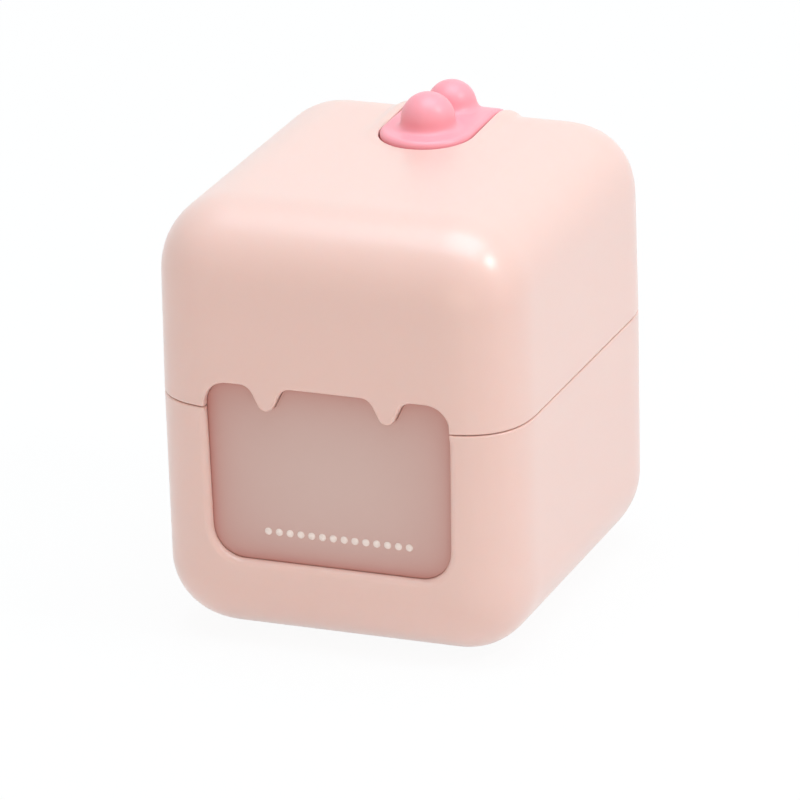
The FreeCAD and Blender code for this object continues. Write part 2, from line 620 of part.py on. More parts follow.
def wedge_bar(z_low, z_high, half_x, clearance=0.0):
    """Slanted bar between two heights, thicker by the clearance all round."""
    half_y = WEDGE_WIDTH / 2 + clearance
    profile = [V(-half_x - clearance, wedge_y(z) + side * half_y, z)
               for z, side in ((z_low, -1), (z_low, 1), (z_high, 1), (z_high, -1))]
    return Part.Face(Part.makePolygon(profile + profile[:1])).extrude(V(2 * (half_x + clearance), 0, 0))


def make_latch_slider():
    """Sliding bar with the wedge's slot, and the hook at its front end."""
    bar = box(-LATCH_HALF, LATCH_HALF, HOOK_FRONT_Y, LATCH_REAR_Y, LATCH_Z, LATCH_TOP)
    nose_low = NOSE_TOP - NOSE_HEIGHT
    arm = box(-HOOK_HALF, HOOK_HALF, HOOK_FRONT_Y, HOOK_FRONT_Y + HOOK_THICKNESS, nose_low, LATCH_TOP)
    profile = [V(-HOOK_HALF, HOOK_FRONT_Y, NOSE_TOP), V(-HOOK_HALF, HOOK_FRONT_Y - NOSE_REACH, NOSE_TOP),
               V(-HOOK_HALF, HOOK_FRONT_Y - NOSE_REACH, NOSE_TOP - NOSE_HEIGHT / 3),
               V(-HOOK_HALF, HOOK_FRONT_Y, nose_low)]
    nose = Part.Face(Part.makePolygon(profile + profile[:1])).extrude(V(2 * HOOK_HALF, 0, 0))
    slot = wedge_bar(LATCH_Z - 1, LATCH_TOP + 1, WEDGE_HALF, WEDGE_GAP)
    return joined([bar, arm, nose]).cut(slot)


# ---- button ------------------------------------------------------------------------------------
def make_button_cap():
    """Pink cap: a hollow strip that follows the lid, with two balls on it and a lip below."""
    form = lid_form(-STRIP_PROUD)
    column = strip_column()
    cap = form.cut(lid_form(CAP_DEPTH)).common(column)
    cap = cap.makeFillet(STRIP_EDGE, shared_edges(cap, form, column))
    skin = box(-FAR, FAR, -FAR, FAR, 0, HEIGHT - CAP_WALL + STRIP_PROUD)
    for back, up, radius in (FRONT_BALL, REAR_BALL):
        ball = Part.makeSphere(radius, V(0, STRIP_FRONT_Y + back, HEIGHT + up)).cut(skin)
        cap = joined([cap, ball])
        cap = cap.makeFillet(BALL_ROOT, shared_edges(cap, ball, form))
    cap = cap.cut(lid_form(CAP_WALL - STRIP_PROUD).common(strip_column(-CAP_WALL)))
    flange = strip_column(FLANGE_WIDTH).cut(strip_column(-CAP_WALL))
    flange = flange.common(box(-FAR, FAR, -FAR, BEND_Y, PLUNGER_TOP, FLANGE_TOP))
    posts = [upright(PLUNGER_POST_RADIUS, 0, y, PLUNGER_TOP, HEIGHT) for y in PLUNGER_POST_Y]
    return joined([cap, flange] + posts).cut(screw_holes(plunger_screw_places()))


def make_button_plunger():
    """Plate screwed under the cap, with the slanted wedge and a post for each spring."""
    outline = strip_column(FLANGE_WIDTH - PLUNGER_INSET)
    plate = outline.common(box(-FAR, FAR, -FAR, BEND_Y, PLUNGER_LOW, PLUNGER_TOP))
    wedge = wedge_bar(COVER_TOP + LATCH_GAP, PLUNGER_LOW + PLUNGER_THICKNESS / 2, WEDGE_HALF)
    posts = [upright(SPRING_RADIUS - 4 * SPRING_WIRE, x, SPRING_Y, PLUNGER_LOW - SPRING_POST, PLUNGER_TOP)
             for x in (-SPRING_X, SPRING_X)]
    return joined([plate, wedge] + posts).cut(screw_holes(plunger_screw_places()))


def coil(x, y, low, high):
    """Coil spring from half turns of a six-sided wire, each of which rises by half the pitch.

    A half turn lies in a plane that leans about Y, so that neighbours meet square and tangent.
    """
    halves = int(2 * SPRING_TURNS)
    rise = (high - low) / halves
    reach = SPRING_RADIUS - SPRING_WIRE
    ring_radius = math.hypot(reach, rise / 2)
    lean = math.degrees(math.atan2(rise / 2, reach))
    sides = [math.radians(60 * k) for k in range(7)]
    section = Part.Face(Part.makePolygon([V(ring_radius + SPRING_WIRE * math.cos(a), 0,
                                            SPRING_WIRE * math.sin(a)) for a in sides]))
    turns = []
    for i in range(halves):
        half = section.revolve(V(0, 0, 0), V(0, 0, 1), 180)
        half.rotate(V(0, 0, 0), V(0, 1, 0), lean)
        half.rotate(V(0, 0, 0), V(0, 0, 1), 180 * i)
        half.translate(V(x, y, low + rise * (i + 0.5)))
        turns.append(half)
    return joined(turns)


def make_button_springs():
    """Pair of coil springs between the cover and the plunger."""
    low = COVER_TOP + SPRING_WIRE
    high = PLUNGER_LOW - SPRING_WIRE
    return Part.Compound([coil(x, SPRING_Y, low, high) for x in (-SPRING_X, SPRING_X)])


# ---- save --------------------------------------------------------------------------------------
def all_pieces():
    """Every piece by name."""
    pieces = {
        "base_shell": make_base_shell(),
        "drawer_bay": make_drawer_bay(),
        "bay_screws": screws(bay_screw_places()),
        "swab_tray": make_swab_tray(),
        "tray_screws": screws(tray_screw_places()),
        "hinge_pin": make_hinge_pin(),
        "drawer_bin": make_drawer_bin(),
        "drawer_front": make_drawer_front(),
        "lid_shell": make_lid_shell(),
        "latch_cover": make_latch_cover(),
        "cover_screws": screws(cover_screw_places()),
        "latch_slider": make_latch_slider(),
        "button_cap": make_button_cap(),
        "button_plunger": make_button_plunger(),
        "plunger_screws": screws(plunger_screw_places()),
        "button_springs": make_button_springs(),
    }
    for x, side in ((-FOOT_X, "left"), (FOOT_X, "right")):
        for y, end in ((-FOOT_Y, "front"), (FOOT_Y, "rear")):
            pieces["foot_" + end + "_" + side] = make_foot(x, y)
    return pieces


def save(pieces):
    """Move every piece to the part's origin and write it."""
    os.makedirs("parts", exist_ok=True)
    for name, shape in pieces.items():
        placed = shape.copy()
        placed.translate(TO_ORIGIN)
        placed.exportStep("parts/" + name + ".step")
        print(name, len(placed.Solids), placed.isValid(), round(placed.Volume, 1))


save(all_pieces())
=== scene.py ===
"""Cotton pad holder with a drawer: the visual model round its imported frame.

A soft cube of blush plastic is split by a fine groove. The lid carries a pink press strip with two
balls, the base and the lid share a window with two drips, and a frosted drawer front closes it.
Lengths in the classes are millimetres in the cube's own frame: its middle is at x = y = 0 and its
underside at z = 0. They become metres in the row frame when a mesh is made.
"""

from __future__ import annotations

import logging
import math
from dataclasses import dataclass, field
from enum import Enum
from itertools import product
from typing import Callable, Sequence

import bmesh
import bpy
import numpy as np
from mathutils import Matrix, Vector
from mathutils.geometry import delaunay_2d_cdt


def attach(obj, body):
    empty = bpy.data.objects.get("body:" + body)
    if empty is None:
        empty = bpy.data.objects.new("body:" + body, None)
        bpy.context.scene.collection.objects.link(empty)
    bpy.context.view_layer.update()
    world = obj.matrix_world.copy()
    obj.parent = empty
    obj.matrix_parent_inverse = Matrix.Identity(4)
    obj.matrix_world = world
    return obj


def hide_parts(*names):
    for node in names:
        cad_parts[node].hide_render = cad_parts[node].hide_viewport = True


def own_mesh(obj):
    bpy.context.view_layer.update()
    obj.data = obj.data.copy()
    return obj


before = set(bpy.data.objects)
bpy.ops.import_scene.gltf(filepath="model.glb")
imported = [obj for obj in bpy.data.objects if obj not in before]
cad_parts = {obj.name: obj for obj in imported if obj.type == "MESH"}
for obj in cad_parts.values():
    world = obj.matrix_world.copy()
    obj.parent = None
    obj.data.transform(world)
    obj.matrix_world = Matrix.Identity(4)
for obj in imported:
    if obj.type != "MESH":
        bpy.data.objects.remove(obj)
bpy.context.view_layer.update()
log = logging.getLogger("pad_holder")

Array, Object, Socket, Tree = np.ndarray, bpy.types.Object, bpy.types.NodeSocket, bpy.types.NodeTree
Pair, Triple, Shade = tuple[float, float], tuple[float, float, float], tuple[float, float, float, float]

MM = 0.001
SAME_PLACE = 1e-6  # points nearer than this are one point
ROW_SHIFT = np.array([0.0, -2.0, 0.8])  # from the cube's own frame to the row frame


def to_row(points: Array) -> Array:
    """Turn millimetres in the cube's frame into metres in the row frame."""
    return (np.asarray(points, float) + ROW_SHIFT) * MM


def unit(vectors: Array) -> Array:
    """Scale each vector to length one."""
    return vectors / np.maximum(np.linalg.norm(vectors, axis=-1, keepdims=True), 1e-12)


def quarter(count: int) -> Array:
    """Even angles from zero to a right angle."""
    return np.linspace(0, math.pi / 2, count)


def turned(vector: Array, angle: float) -> Array:
    """Turn a plane vector to the left by an angle in radians."""
    cos, sin = math.cos(angle), math.sin(angle)
    return np.array([vector[0] * cos - vector[1] * sin, vector[0] * sin + vector[1] * cos])


def thinned(points: Array, grid: float) -> Array:
    """Keep one plane point in each square of a grid, in their order."""
    keep = np.unique(np.round(points / grid).astype(int), axis=0, return_index=True)[1]
    return points[np.sort(keep)]


def linked(name: str, data: bpy.types.ID) -> Object:
    """Make an object from its data and link it to the scene."""
    made = bpy.data.objects.new(name, data)
    bpy.context.scene.collection.objects.link(made)
    return made


def applied(piece: Object, modifier: bpy.types.Modifier) -> bpy.types.Mesh:
    """Replace a piece's mesh by what its modifier makes of it, and return the new mesh."""
    bpy.context.view_layer.update()
    found = bpy.data.meshes.new_from_object(piece.evaluated_get(bpy.context.evaluated_depsgraph_get()))
    piece.modifiers.remove(modifier)
    piece.data = found
    return found


def feed(tree: Tree, node: bpy.types.Node, given: dict[str | int, object]) -> None:
    """Give a node's inputs their values, or the sockets that lead to them."""
    for name, value in given.items():
        for one in value if isinstance(value, list) else [value]:
            if isinstance(one, Socket):
                tree.links.new(one, node.inputs[name])
            else:
                node.inputs[name].default_value = one


def add_node(tree: Tree, kind: str, given: dict[str | int, object],
             **options: object) -> bpy.types.Node:
    """Add a node to a tree.

    Args:
        tree: the tree.
        kind: the node's type.
        given: for each input, its value or what leads to it.
        options: settings of the node itself.

    Returns:
        The node.
    """
    made = tree.nodes.new(kind)
    for option, value in options.items():
        setattr(made, option, value)
    feed(tree, made, given)
    return made


def mixed(tree: Tree, share: Socket, first: object,
          second: Triple) -> Socket:
    """Mix two colours by a share."""
    given = {"Factor": share, "A": first, "B": (*second, 1.0)}
    return add_node(tree, "ShaderNodeMix", given, data_type="RGBA").outputs["Result"]


# ---- outlines and skins ---------------------------------------------------------------------


@dataclass
class Outline:
    """Closed or open line of points in a plane, each with the direction that leads into the wall."""

    points: Array
    inward: Array

    @staticmethod
    def rounded(corners: Sequence[Triple], spacing: float, closed: bool = True,
                turn: float = 9.0) -> "Outline":
        """Sample a polygon whose corners are rounded.

        Args:
            corners: x, z and rounding radius of each corner. The wall lies to the right of the way.
            spacing: longest step on a straight run.
            closed: whether the last corner joins the first.
            turn: degrees between points on an arc.

        Returns:
            The sampled line; inward points to the right of the way.
        """
        count = len(corners)
        points: list[Array] = []
        inward: list[Array] = []
        places = [np.array(c[:2], float) for c in corners]

        def add(point: Array, direction: Array) -> None:
            if not points or np.linalg.norm(points[-1] - point) > SAME_PLACE:
                points.append(point)
                inward.append(np.array([direction[1], -direction[0]]))

        def straight(start: Array, end: Array) -> None:
            length = float(np.linalg.norm(end - start))
            if length < SAME_PLACE:
                return
            steps = max(1, math.ceil(length / spacing))
            for k in range(steps + 1):
                add(start + (end - start) * (k / steps), (end - start) / length)

        last = first_start = places[0]
        for i, (here, (_, _, radius)) in enumerate(zip(places, corners)):
            before = unit(here - places[i - 1])
            after = unit(places[(i + 1) % count] - here)
            bend = math.atan2(before[0] * after[1] - before[1] * after[0], float(before @ after))
            free_end = not closed and i in (0, count - 1)
            if free_end or radius <= 0 or abs(bend) < SAME_PLACE:
                straight(last, here)
                last = here
                continue
            reach = radius * math.tan(abs(bend) / 2)
            start = here - before * reach
            if closed and i == 0:
                first_start = start
            else:
                straight(last, start)
            last = here + after * reach
            side = 1 if bend > 0 else -1
            left = np.array([-before[1], before[0]])
            centre = start + left * radius * side
            steps = max(2, math.ceil(math.degrees(abs(bend)) / turn))
            for k in range(steps + 1):
                angle = bend * k / steps
                add(centre + turned(-left * side, angle) * radius, turned(before, angle))
        if closed:
            straight(last, first_start)
            if np.linalg.norm(points[-1] - points[0]) < SAME_PLACE:
                points.pop()
                inward.pop()
        return Outline(np.array(points), np.array(inward))

    @staticmethod
    def circle(x: float, y: float, radius: float, count: int = 32) -> "Outline":
        """Round outline with the material inside it."""
        a = np.linspace(0, -2 * math.pi, count + 1)[:-1]
        way = np.column_stack([np.cos(a), np.sin(a)])
        return Outline(np.array([x, y]) + way * radius, -way)

    @staticmethod
    def block(low: Sequence[float], high: Sequence[float], radius: float) -> "Outline":
        """Rectangle with the material inside it."""
        corners = [(low[0], low[1], radius), (low[0], high[1], radius), (high[0], high[1], radius),
                   (high[0], low[1], radius)]
        return Outline.rounded(corners, 8.0)


def inside(points: Array, loop: Array) -> Array:
    """Tell which plane points lie inside a closed loop."""
    x, y = points[:, :1], points[:, 1:2]
    x0, y0 = loop[:, 0], loop[:, 1]
    x1, y1 = np.roll(x0, -1), np.roll(y0, -1)
    rise = np.where(np.abs(y1 - y0) < 1e-12, 1e-12, y1 - y0)
    crosses = ((y0 > y) != (y1 > y)) & (x < x0 + (y - y0) * (x1 - x0) / rise)
    return crosses.sum(axis=1) % 2 == 1


def distance(points: Array, loop: Array) -> Array:
    """Distance from plane points to the nearest stretch of a closed loop."""
    start, end = loop, np.roll(loop, -1, axis=0)
    along = end - start
    size = np.maximum((along**2).sum(axis=1), 1e-12)
    best = np.full(len(points), np.inf)
    for k in range(len(loop)):
        share = np.clip(((points - start[k]) @ along[k]) / size[k], 0, 1)
        gap = points - start[k] - share[:, None] * along[k]
        best = np.minimum(best, (gap**2).sum(axis=1))
    return np.sqrt(best)


def fill(outer: Array, holes: Sequence[Array], extra: Array) -> tuple[Array, Array]:
    """Triangulate the plane between an outer loop and its holes, through extra points.

    Args:
        outer: the outer loop's points.
        holes: loops that stay open.
        extra: points between them.

    Returns:
        All points, loops first and in their order, and the triangles' indices.
    """
    loops = [outer, *holes]
    points = np.vstack([*loops, extra.reshape(-1, 2)])
    edges, start = [], 0
    for loop in loops:
        count = len(loop)
        edges += [(start + k, start + (k + 1) % count) for k in range(count)]
        start += count
    made = delaunay_2d_cdt([Vector(p) for p in points], edges, [], 0, 1e-7, True)
    origin = [ids[0] if ids else -1 for ids in made[3]]
    if -1 in origin:
        raise ValueError("two loops of a skin cross each other")
    tris = np.array([[origin[v] for v in face] for face in made[2]])
    middle = points[tris].mean(axis=1)
    keep = inside(middle, outer)
    for hole in holes:
        keep &= ~inside(middle, hole)
    return points, tris[keep]


class Axis(Enum):
    """Direction in which a flat outline is drawn out: its two plane axes, then itself."""

    X = (1, 2, 0)
    Y = (0, 2, 1)
    Z = (0, 1, 2)

    def lift(self, plane: Array, depth: float) -> Array:
        """Points in space for plane points at a depth along the axis."""
        made = np.empty((len(plane), 3))
        first, second, third = self.value
        made[:, first], made[:, second], made[:, third] = plane[:, 0], plane[:, 1], depth
        return made


class Skin:
    """Mesh under construction: points with their own shading directions, and faces."""

    def __init__(self) -> None:
        """Start an empty mesh."""
        self.points: list[Array] = []
        self.normals: list[Array] = []
        self.faces: list[tuple[int, ...]] = []
        self.count = 0

    def add(self, points: Array, normals: Array) -> Array:
        """Add points and return their indices."""
        self.points.append(np.asarray(points, float))
        self.normals.append(unit(np.asarray(normals, float)))
        first = self.count
        self.count += len(points)
        return np.arange(first, self.count)

    def tris(self, indices: Array, flip: bool = False) -> None:
        """Add triangles or quads."""
        order = indices[:, ::-1] if flip else indices
        self.faces += [tuple(int(v) for v in face) for face in order]

    def bridge(self, first: Array, second: Array, flip: bool = False) -> None:
        """Join two closed rings of the same number of points with quads."""
        for k in range(len(first)):
            n = (k + 1) % len(first)
            quad = (int(first[k]), int(first[n]), int(second[n]), int(second[k]))
            self.faces.append(quad[::-1] if flip else quad)

    def arc(self, ring: Array, centre: Array, radius: Array | float,
            aims: Sequence[Array]) -> Array:
        """Go on from a ring with more rings on an arc.

        Args:
            ring: the ring that the first new one joins.
            centre: middle of the arc for each point of the ring.
            radius: the arc's radius.
            aims: directions from the middle to each new ring's points, ring by ring.

        Returns:
            The last ring.
        """
        for aim in aims:
            following = self.add(centre + aim * radius, aim)
            self.bridge(ring, following)
            ring = following
        return ring

    def slab(self, loops: Sequence[Outline], axis: Axis, low: float, high: float,
             rounds: Pair = (0.25, 0.25), extra: Array | None = None) -> None:
        """Add a closed slab: an outline and its holes drawn out along an axis, with rounded rims.

        Args:
            loops: the outline and then its holes, each with the material to the right of its way.
            axis: direction of the thickness.
            low: place of the first face.
            high: place of the second face.
            rounds: rounding of the rims at the first and at the second face.
            extra: more plane points for both faces.
        """
        more = np.empty((0, 2)) if extra is None else extra
        started = len(self.faces)
        chains: list[list[Array]] = [[] for _ in loops]
        for level, radius, side in ((low, rounds[0], -1), (high, rounds[1], 1)):
            shifted = [loop.points + loop.inward * radius for loop in loops]
            pattern, tris = fill(shifted[0], shifted[1:], more)
            indices = self.add(axis.lift(pattern, level), axis.lift(np.zeros((len(pattern), 2)), side))
            self.tris(indices[tris], side < 0)
            first = 0
            for loop, start, chain in zip(loops, shifted, chains):
                rings = [indices[first:first + len(start)]]
                first += len(start)
                middle = axis.lift(start, level - side * radius)
                for a in quarter(4)[1:]:
                    aim = axis.lift(-loop.inward * math.sin(a), side * math.cos(a))
                    rings.append(self.add(middle + aim * radius, aim))
                chain += rings if side < 0 else rings[::-1]
        for chain in chains:
            for ring, following in zip(chain, chain[1:]):
                self.bridge(ring, following, True)
        self._outwards(started)

    def _outwards(self, started: int) -> None:
        """Turn the faces added since a count if they enclose a negative volume."""
        points = np.vstack(self.points)
        fans = np.array([(face[0], face[k], face[k + 1])
                         for face in self.faces[started:] for k in range(1, len(face) - 1)])
        one, two, three = (points[fans[:, k]] for k in range(3))
        if float((one * np.cross(two, three)).sum()) < 0:
            self.faces[started:] = [face[::-1] for face in self.faces[started:]]

    def finish(self, name: str) -> Object:
        """Make the object, in the row frame.

        Args:
            name: the piece's name.

        Returns:
            The new object, linked to the scene.
        """
        points, normals = np.vstack(self.points), np.vstack(self.normals)
        mesh = bpy.data.meshes.new(name)
        mesh.from_pydata([tuple(p) for p in to_row(points)], [], self.faces)
        mesh.update()
        mesh.shade_smooth()
        mesh.normals_split_custom_set_from_vertices([tuple(n) for n in normals])
        return linked(name, mesh)


# ---- the soft cube -----------------------------------------------------------------------------


class Half(Enum):
    """The cube's two halves."""

    LID = 1
    BASE = -1


@dataclass
class SoftForm:
    """Outer form of one half: a flat end, a rounding, and a wall that leans in by its draft.

    A point of the form is found from a place on its flat pattern: the end face in the middle, and
    each wall folded out from it, so that walls and end keep their true sizes.
    """

    half: Half
    width: float = 100.0
    height: float = 116.7
    parting: float = 64.5
    corner_exponent: float = 2.6
    end_radius: float = 20.9
    end_exponent: float = 2.27
    draft: float = 0.5
    flat_x: float = 28.83
    flat_y: float = 35.13
    probe: float = 0.04
    wall_rows: float = 2.4
    relief: Callable[[Array, Array], Array] | None = None

    def __post_init__(self) -> None:
        """Sample the profile from the flat end over the rounding and along the wall."""
        a = quarter(1200)
        power = 2 / self.end_exponent
        out = self.end_radius * np.sin(a) ** power
        down = self.end_radius * (1 - np.cos(a) ** power)
        tall = self.height - self.parting if self.half is Half.LID else self.parting
        wall_length = tall - self.end_radius
        lean = math.tan(math.radians(self.draft))
        flat = self.width / 2 - self.flat_x - self.end_radius - wall_length * lean
        steps = np.linspace(0, 1, 400)[1:]
        out = np.concatenate([[0.0], out + flat, self.end_radius + flat + steps * wall_length * lean])
        down = np.concatenate([[0.0], down, self.end_radius + steps * wall_length])
        run = np.concatenate([[0.0], np.cumsum(np.hypot(np.diff(out), np.diff(down)))])
        keep = np.concatenate([[True], np.diff(run) > 1e-9])
        self._run, self._out, self._down = run[keep], out[keep], down[keep]
        self.reach = float(self._run[-1])

    def level(self, run: Array) -> Array:
        """Height of the wall at a distance along the profile."""
        down = np.interp(run, self._run, self._down)
        return self.height - down if self.half is Half.LID else down

    def run_at(self, z: Array) -> Array:
        """Distance along the profile at which the wall has a height."""
        down = self.height - np.asarray(z, float) if self.half is Half.LID else np.asarray(z, float)
        return np.interp(down, self._down, self._run)

    def rear_run(self, z: float) -> float:
        """Place along the flat pattern's middle line at which the rear wall has a height."""
        return self.flat_y + float(self.run_at(np.array([z]))[0])

    def bare(self, flat: Array) -> Array:
        """Points of the plain form at places on the flat pattern."""
        x, y = flat[:, 0], flat[:, 1]
        over_x = np.maximum(np.abs(x) - self.flat_x, 0)
        over_y = np.maximum(np.abs(y) - self.flat_y, 0)
        run = np.hypot(over_x, over_y)
        safe = np.maximum(run, 1e-12)
        cos, sin = over_x / safe, over_y / safe
        n = self.corner_exponent
        swell = np.maximum(cos**n + sin**n, 1e-12) ** (1 / n)
        out = np.interp(run, self._run, self._out)
        # past the rim the wall simply goes on
        beyond = np.maximum(run - self.reach, 0)
        px = np.sign(x) * (np.minimum(np.abs(x), self.flat_x) + out * cos / swell)
        py = np.sign(y) * (np.minimum(np.abs(y), self.flat_y) + out * sin / swell)
        z = self.level(run) - self.half.value * beyond
        return np.column_stack([px, py, z])

    def _normals(self, place: Callable[[Array], Array], flat: Array) -> Array:
        """Outward directions of a surface over the flat pattern, by small differences."""
        dx, dy = np.eye(2) * self.probe
        across = place(flat + dx) - place(flat - dx)
        along = place(flat + dy) - place(flat - dy)
        return unit(np.cross(across, along)) * self.half.value

    def place(self, flat: Array) -> Array:
        """Points of the outer surface, with its relief, at places on the flat pattern."""
        points = self.bare(flat)
        if self.relief is None:
            return points
        lift = self.relief(flat[:, 0], flat[:, 1])
        return points + lift[:, None] * self.bare_normals(flat)

    def bare_normals(self, flat: Array) -> Array:
        """Outward directions of the plain form."""
        return self._normals(self.bare, flat)

    def normals(self, flat: Array) -> Array:
        """Outward directions of the outer surface."""
        return self._normals(self.place, flat)

    def inner(self, flat: Array, wall: float) -> Array:
        """Points of the hollow's surface behind places on the flat pattern."""
        return self.bare(flat) - wall * self.bare_normals(flat)

    def from_face(self, x: Array, z: Array, side: int) -> Array:
        """Places on the flat pattern for points seen on the front (side -1) or rear (1) wall."""
        x, z = np.asarray(x, float), np.asarray(z, float)
        run = self.run_at(z) + np.maximum((self.parting - z) * self.half.value, 0)
        out = np.maximum(np.interp(run, self._run, self._out), 1e-9)
        share = np.clip((np.abs(x) - self.flat_x) / out, 0, 0.999)
        n = self.corner_exponent
        slope = np.maximum(share, 1e-9) ** -n - 1
        angle = np.arctan(np.maximum(slope, 0) ** (1 / n))
        over = share > 1e-9
        flat_x = np.where(over, self.flat_x + run * np.cos(angle), np.abs(x)) * np.sign(x)
        flat_y = self.flat_y + run * np.where(over, np.sin(angle), 1.0)
        return np.column_stack([flat_x, side * flat_y])

    def mesh_places(self, row_step: float, column_step: float, corner_steps: int) -> Array:
        """Regular places over the whole flat pattern, close together on the rounding.

        Args:
            row_step: distance between rows on the rounding.
            column_step: distance between columns.
            corner_steps: number of steps round each upright corner.

        Returns:
            The places.
        """
        bend = float(np.interp(self.end_radius, self._down, self._run))
        wall_step = self.wall_rows * row_step
        rows = np.concatenate([
            np.linspace(0, bend, max(2, round(bend / row_step)))[1:],
            np.linspace(bend, self.reach, max(2, round((self.reach - bend) / wall_step)))[1:]])
        xs, ys = (np.linspace(-far, far, round(2 * far / column_step) + 1)
                  for far in (self.flat_x, self.flat_y))
        places = [np.array(list(product(xs, ys)))]
        for run in rows:
            for side in (-1, 1):
                places.append(np.column_stack([xs, np.full(len(xs), side * (self.flat_y + run))]))
                places.append(np.column_stack([np.full(len(ys), side * (self.flat_x + run)), ys]))
            turns = quarter(corner_steps + 1)[1:-1]
            for sx, sy in product((-1, 1), repeat=2):
                places.append(np.column_stack([sx * (self.flat_x + run * np.cos(turns)),
                                               sy * (self.flat_y + run * np.sin(turns))]))
        return np.vstack(places)


@dataclass
class EdgeLine:
    """Closed edge of a shell: points seen on the front or rear wall, and points along the rim."""

    form: SoftForm
    rim_run: float
    face: Array
    side: Array
    inward: Array
    anchor: Array
    way: Array
    radius: Array

    def shift(self, offset: Array | float) -> Array:
        """Places on the flat pattern, moved into the wall by an offset."""
        offset = np.broadcast_to(np.asarray(offset, float), (len(self.face),))
        run = self.rim_run - offset
        places = self.anchor + self.way * run[:, None]
        for side in (-1, 1):
            on = self.side == side
            if on.any():
                moved = self.face[on] + self.inward[on] * offset[on, None]
                places[on] = self.form.from_face(moved[:, 0], moved[:, 1], side)
        return places


@dataclass
class FlatLine:
    """Closed edge given straight on the flat pattern."""

    form: SoftForm
    points: Array
    inward: Array
    radius: Array

    @staticmethod
    def round(form: SoftForm, points: Array, radius: float) -> "FlatLine":
        """Edge through points, counter-clockwise on the lid and clockwise on the base."""
        along = np.roll(points, -1, axis=0) - np.roll(points, 1, axis=0)
        inward = unit(np.column_stack([along[:, 1], -along[:, 0]])) * form.half.value
        return FlatLine(form, points, inward, np.full(len(points), radius))

    def shift(self, offset: Array | float) -> Array:
        """Places on the flat pattern, moved into the wall by an offset."""
        offset = np.broadcast_to(np.asarray(offset, float), (len(self.points),))
        return self.points + self.inward * offset[:, None]


@dataclass
class Window:
    """Opening that both halves share, with two drips hanging into it from the lid."""

    half_high: float = 33.65
    half_low: float = 32.75
    high: float = 71.7
    low: float = 23.35
    high_radius: float = 6.4
    low_radius: float = 8.8
    drip_x: float = 16.5
    drip_low: float = 65.1
    tip_radius: float = 2.4
    shoulder_radius: float = 3.7
    slope: float = 64.0
    step: float = 1.6
    drip_back_round: float = 0.9

    def half_at(self, z: float) -> float:
        """Half width at a height."""
        return self.half_low + (self.half_high - self.half_low) * (z - self.low) / (self.high - self.low)

    def _drip_corners(self, middle: float) -> list[Triple]:
        """Right shoulder, tip and left shoulder of the drip at a middle x."""
        steep = math.radians(self.slope)
        tip = self.drip_low + self.tip_radius - self.tip_radius / math.cos(steep)
        spread = (self.high - tip) / math.tan(steep)
        return [(middle + spread, self.high, self.shoulder_radius), (middle, tip, self.tip_radius),
                (middle - spread, self.high, self.shoulder_radius)]

    def upper(self) -> list[Triple]:
        """Corners of the upper edge, from right to left."""
        right = [(self.half_high, self.high, self.high_radius), *self._drip_corners(self.drip_x)]
        return right + [(-x, z, r) for x, z, r in reversed(right)]

    def lower(self) -> list[Triple]:
        """Corners of the lower edge, from left to right."""
        return [(-self.half_low, self.low, self.low_radius), (self.half_low, self.low, self.low_radius)]

    def drip(self, side: int, reach: float, inset: float) -> Outline:
        """One drip from its tip to above the opening, a little inside its own edge.

        Args:
            side: 1 for the drip at high x and -1 for the other.
            reach: how far the outline goes past the shoulders and above them.
            inset: distance inside the drip's edge.

        Returns:
            The closed outline.
        """
        drip = self._drip_corners(side * self.drip_x)
        left, right, top = drip[-1][0] - reach, drip[0][0] + reach, self.high + reach
        soft = self.drip_back_round
        corners = [(left, top, soft), (right, top, soft), (right, self.high, soft), *drip,
                   (left, self.high, soft)]
        line = Outline.rounded(corners, self.step)
        line.points = line.points + line.inward * inset
        return line

    def panel(self) -> Outline:
        """Whole outline, with the material inside it."""
        return Outline.rounded([*reversed(self.upper()), *reversed(self.lower())], self.step, True, 7.0)

    def trough(self, inset: float, wall: float, top: float) -> Outline:
        """Open trough of an even wall that follows the sides and the lower edge, inside them."""
        def side(offset: float) -> list[Triple]:
            corners = [(self.half_at(top) - offset, top, 0.55),
                       (self.half_low - offset, self.low + offset, max(self.low_radius - offset, 1.0))]
            return corners + [(-x, z, r) for x, z, r in reversed(corners)]

        return Outline.rounded([*reversed(side(inset)), *side(inset + wall)], 4.0)


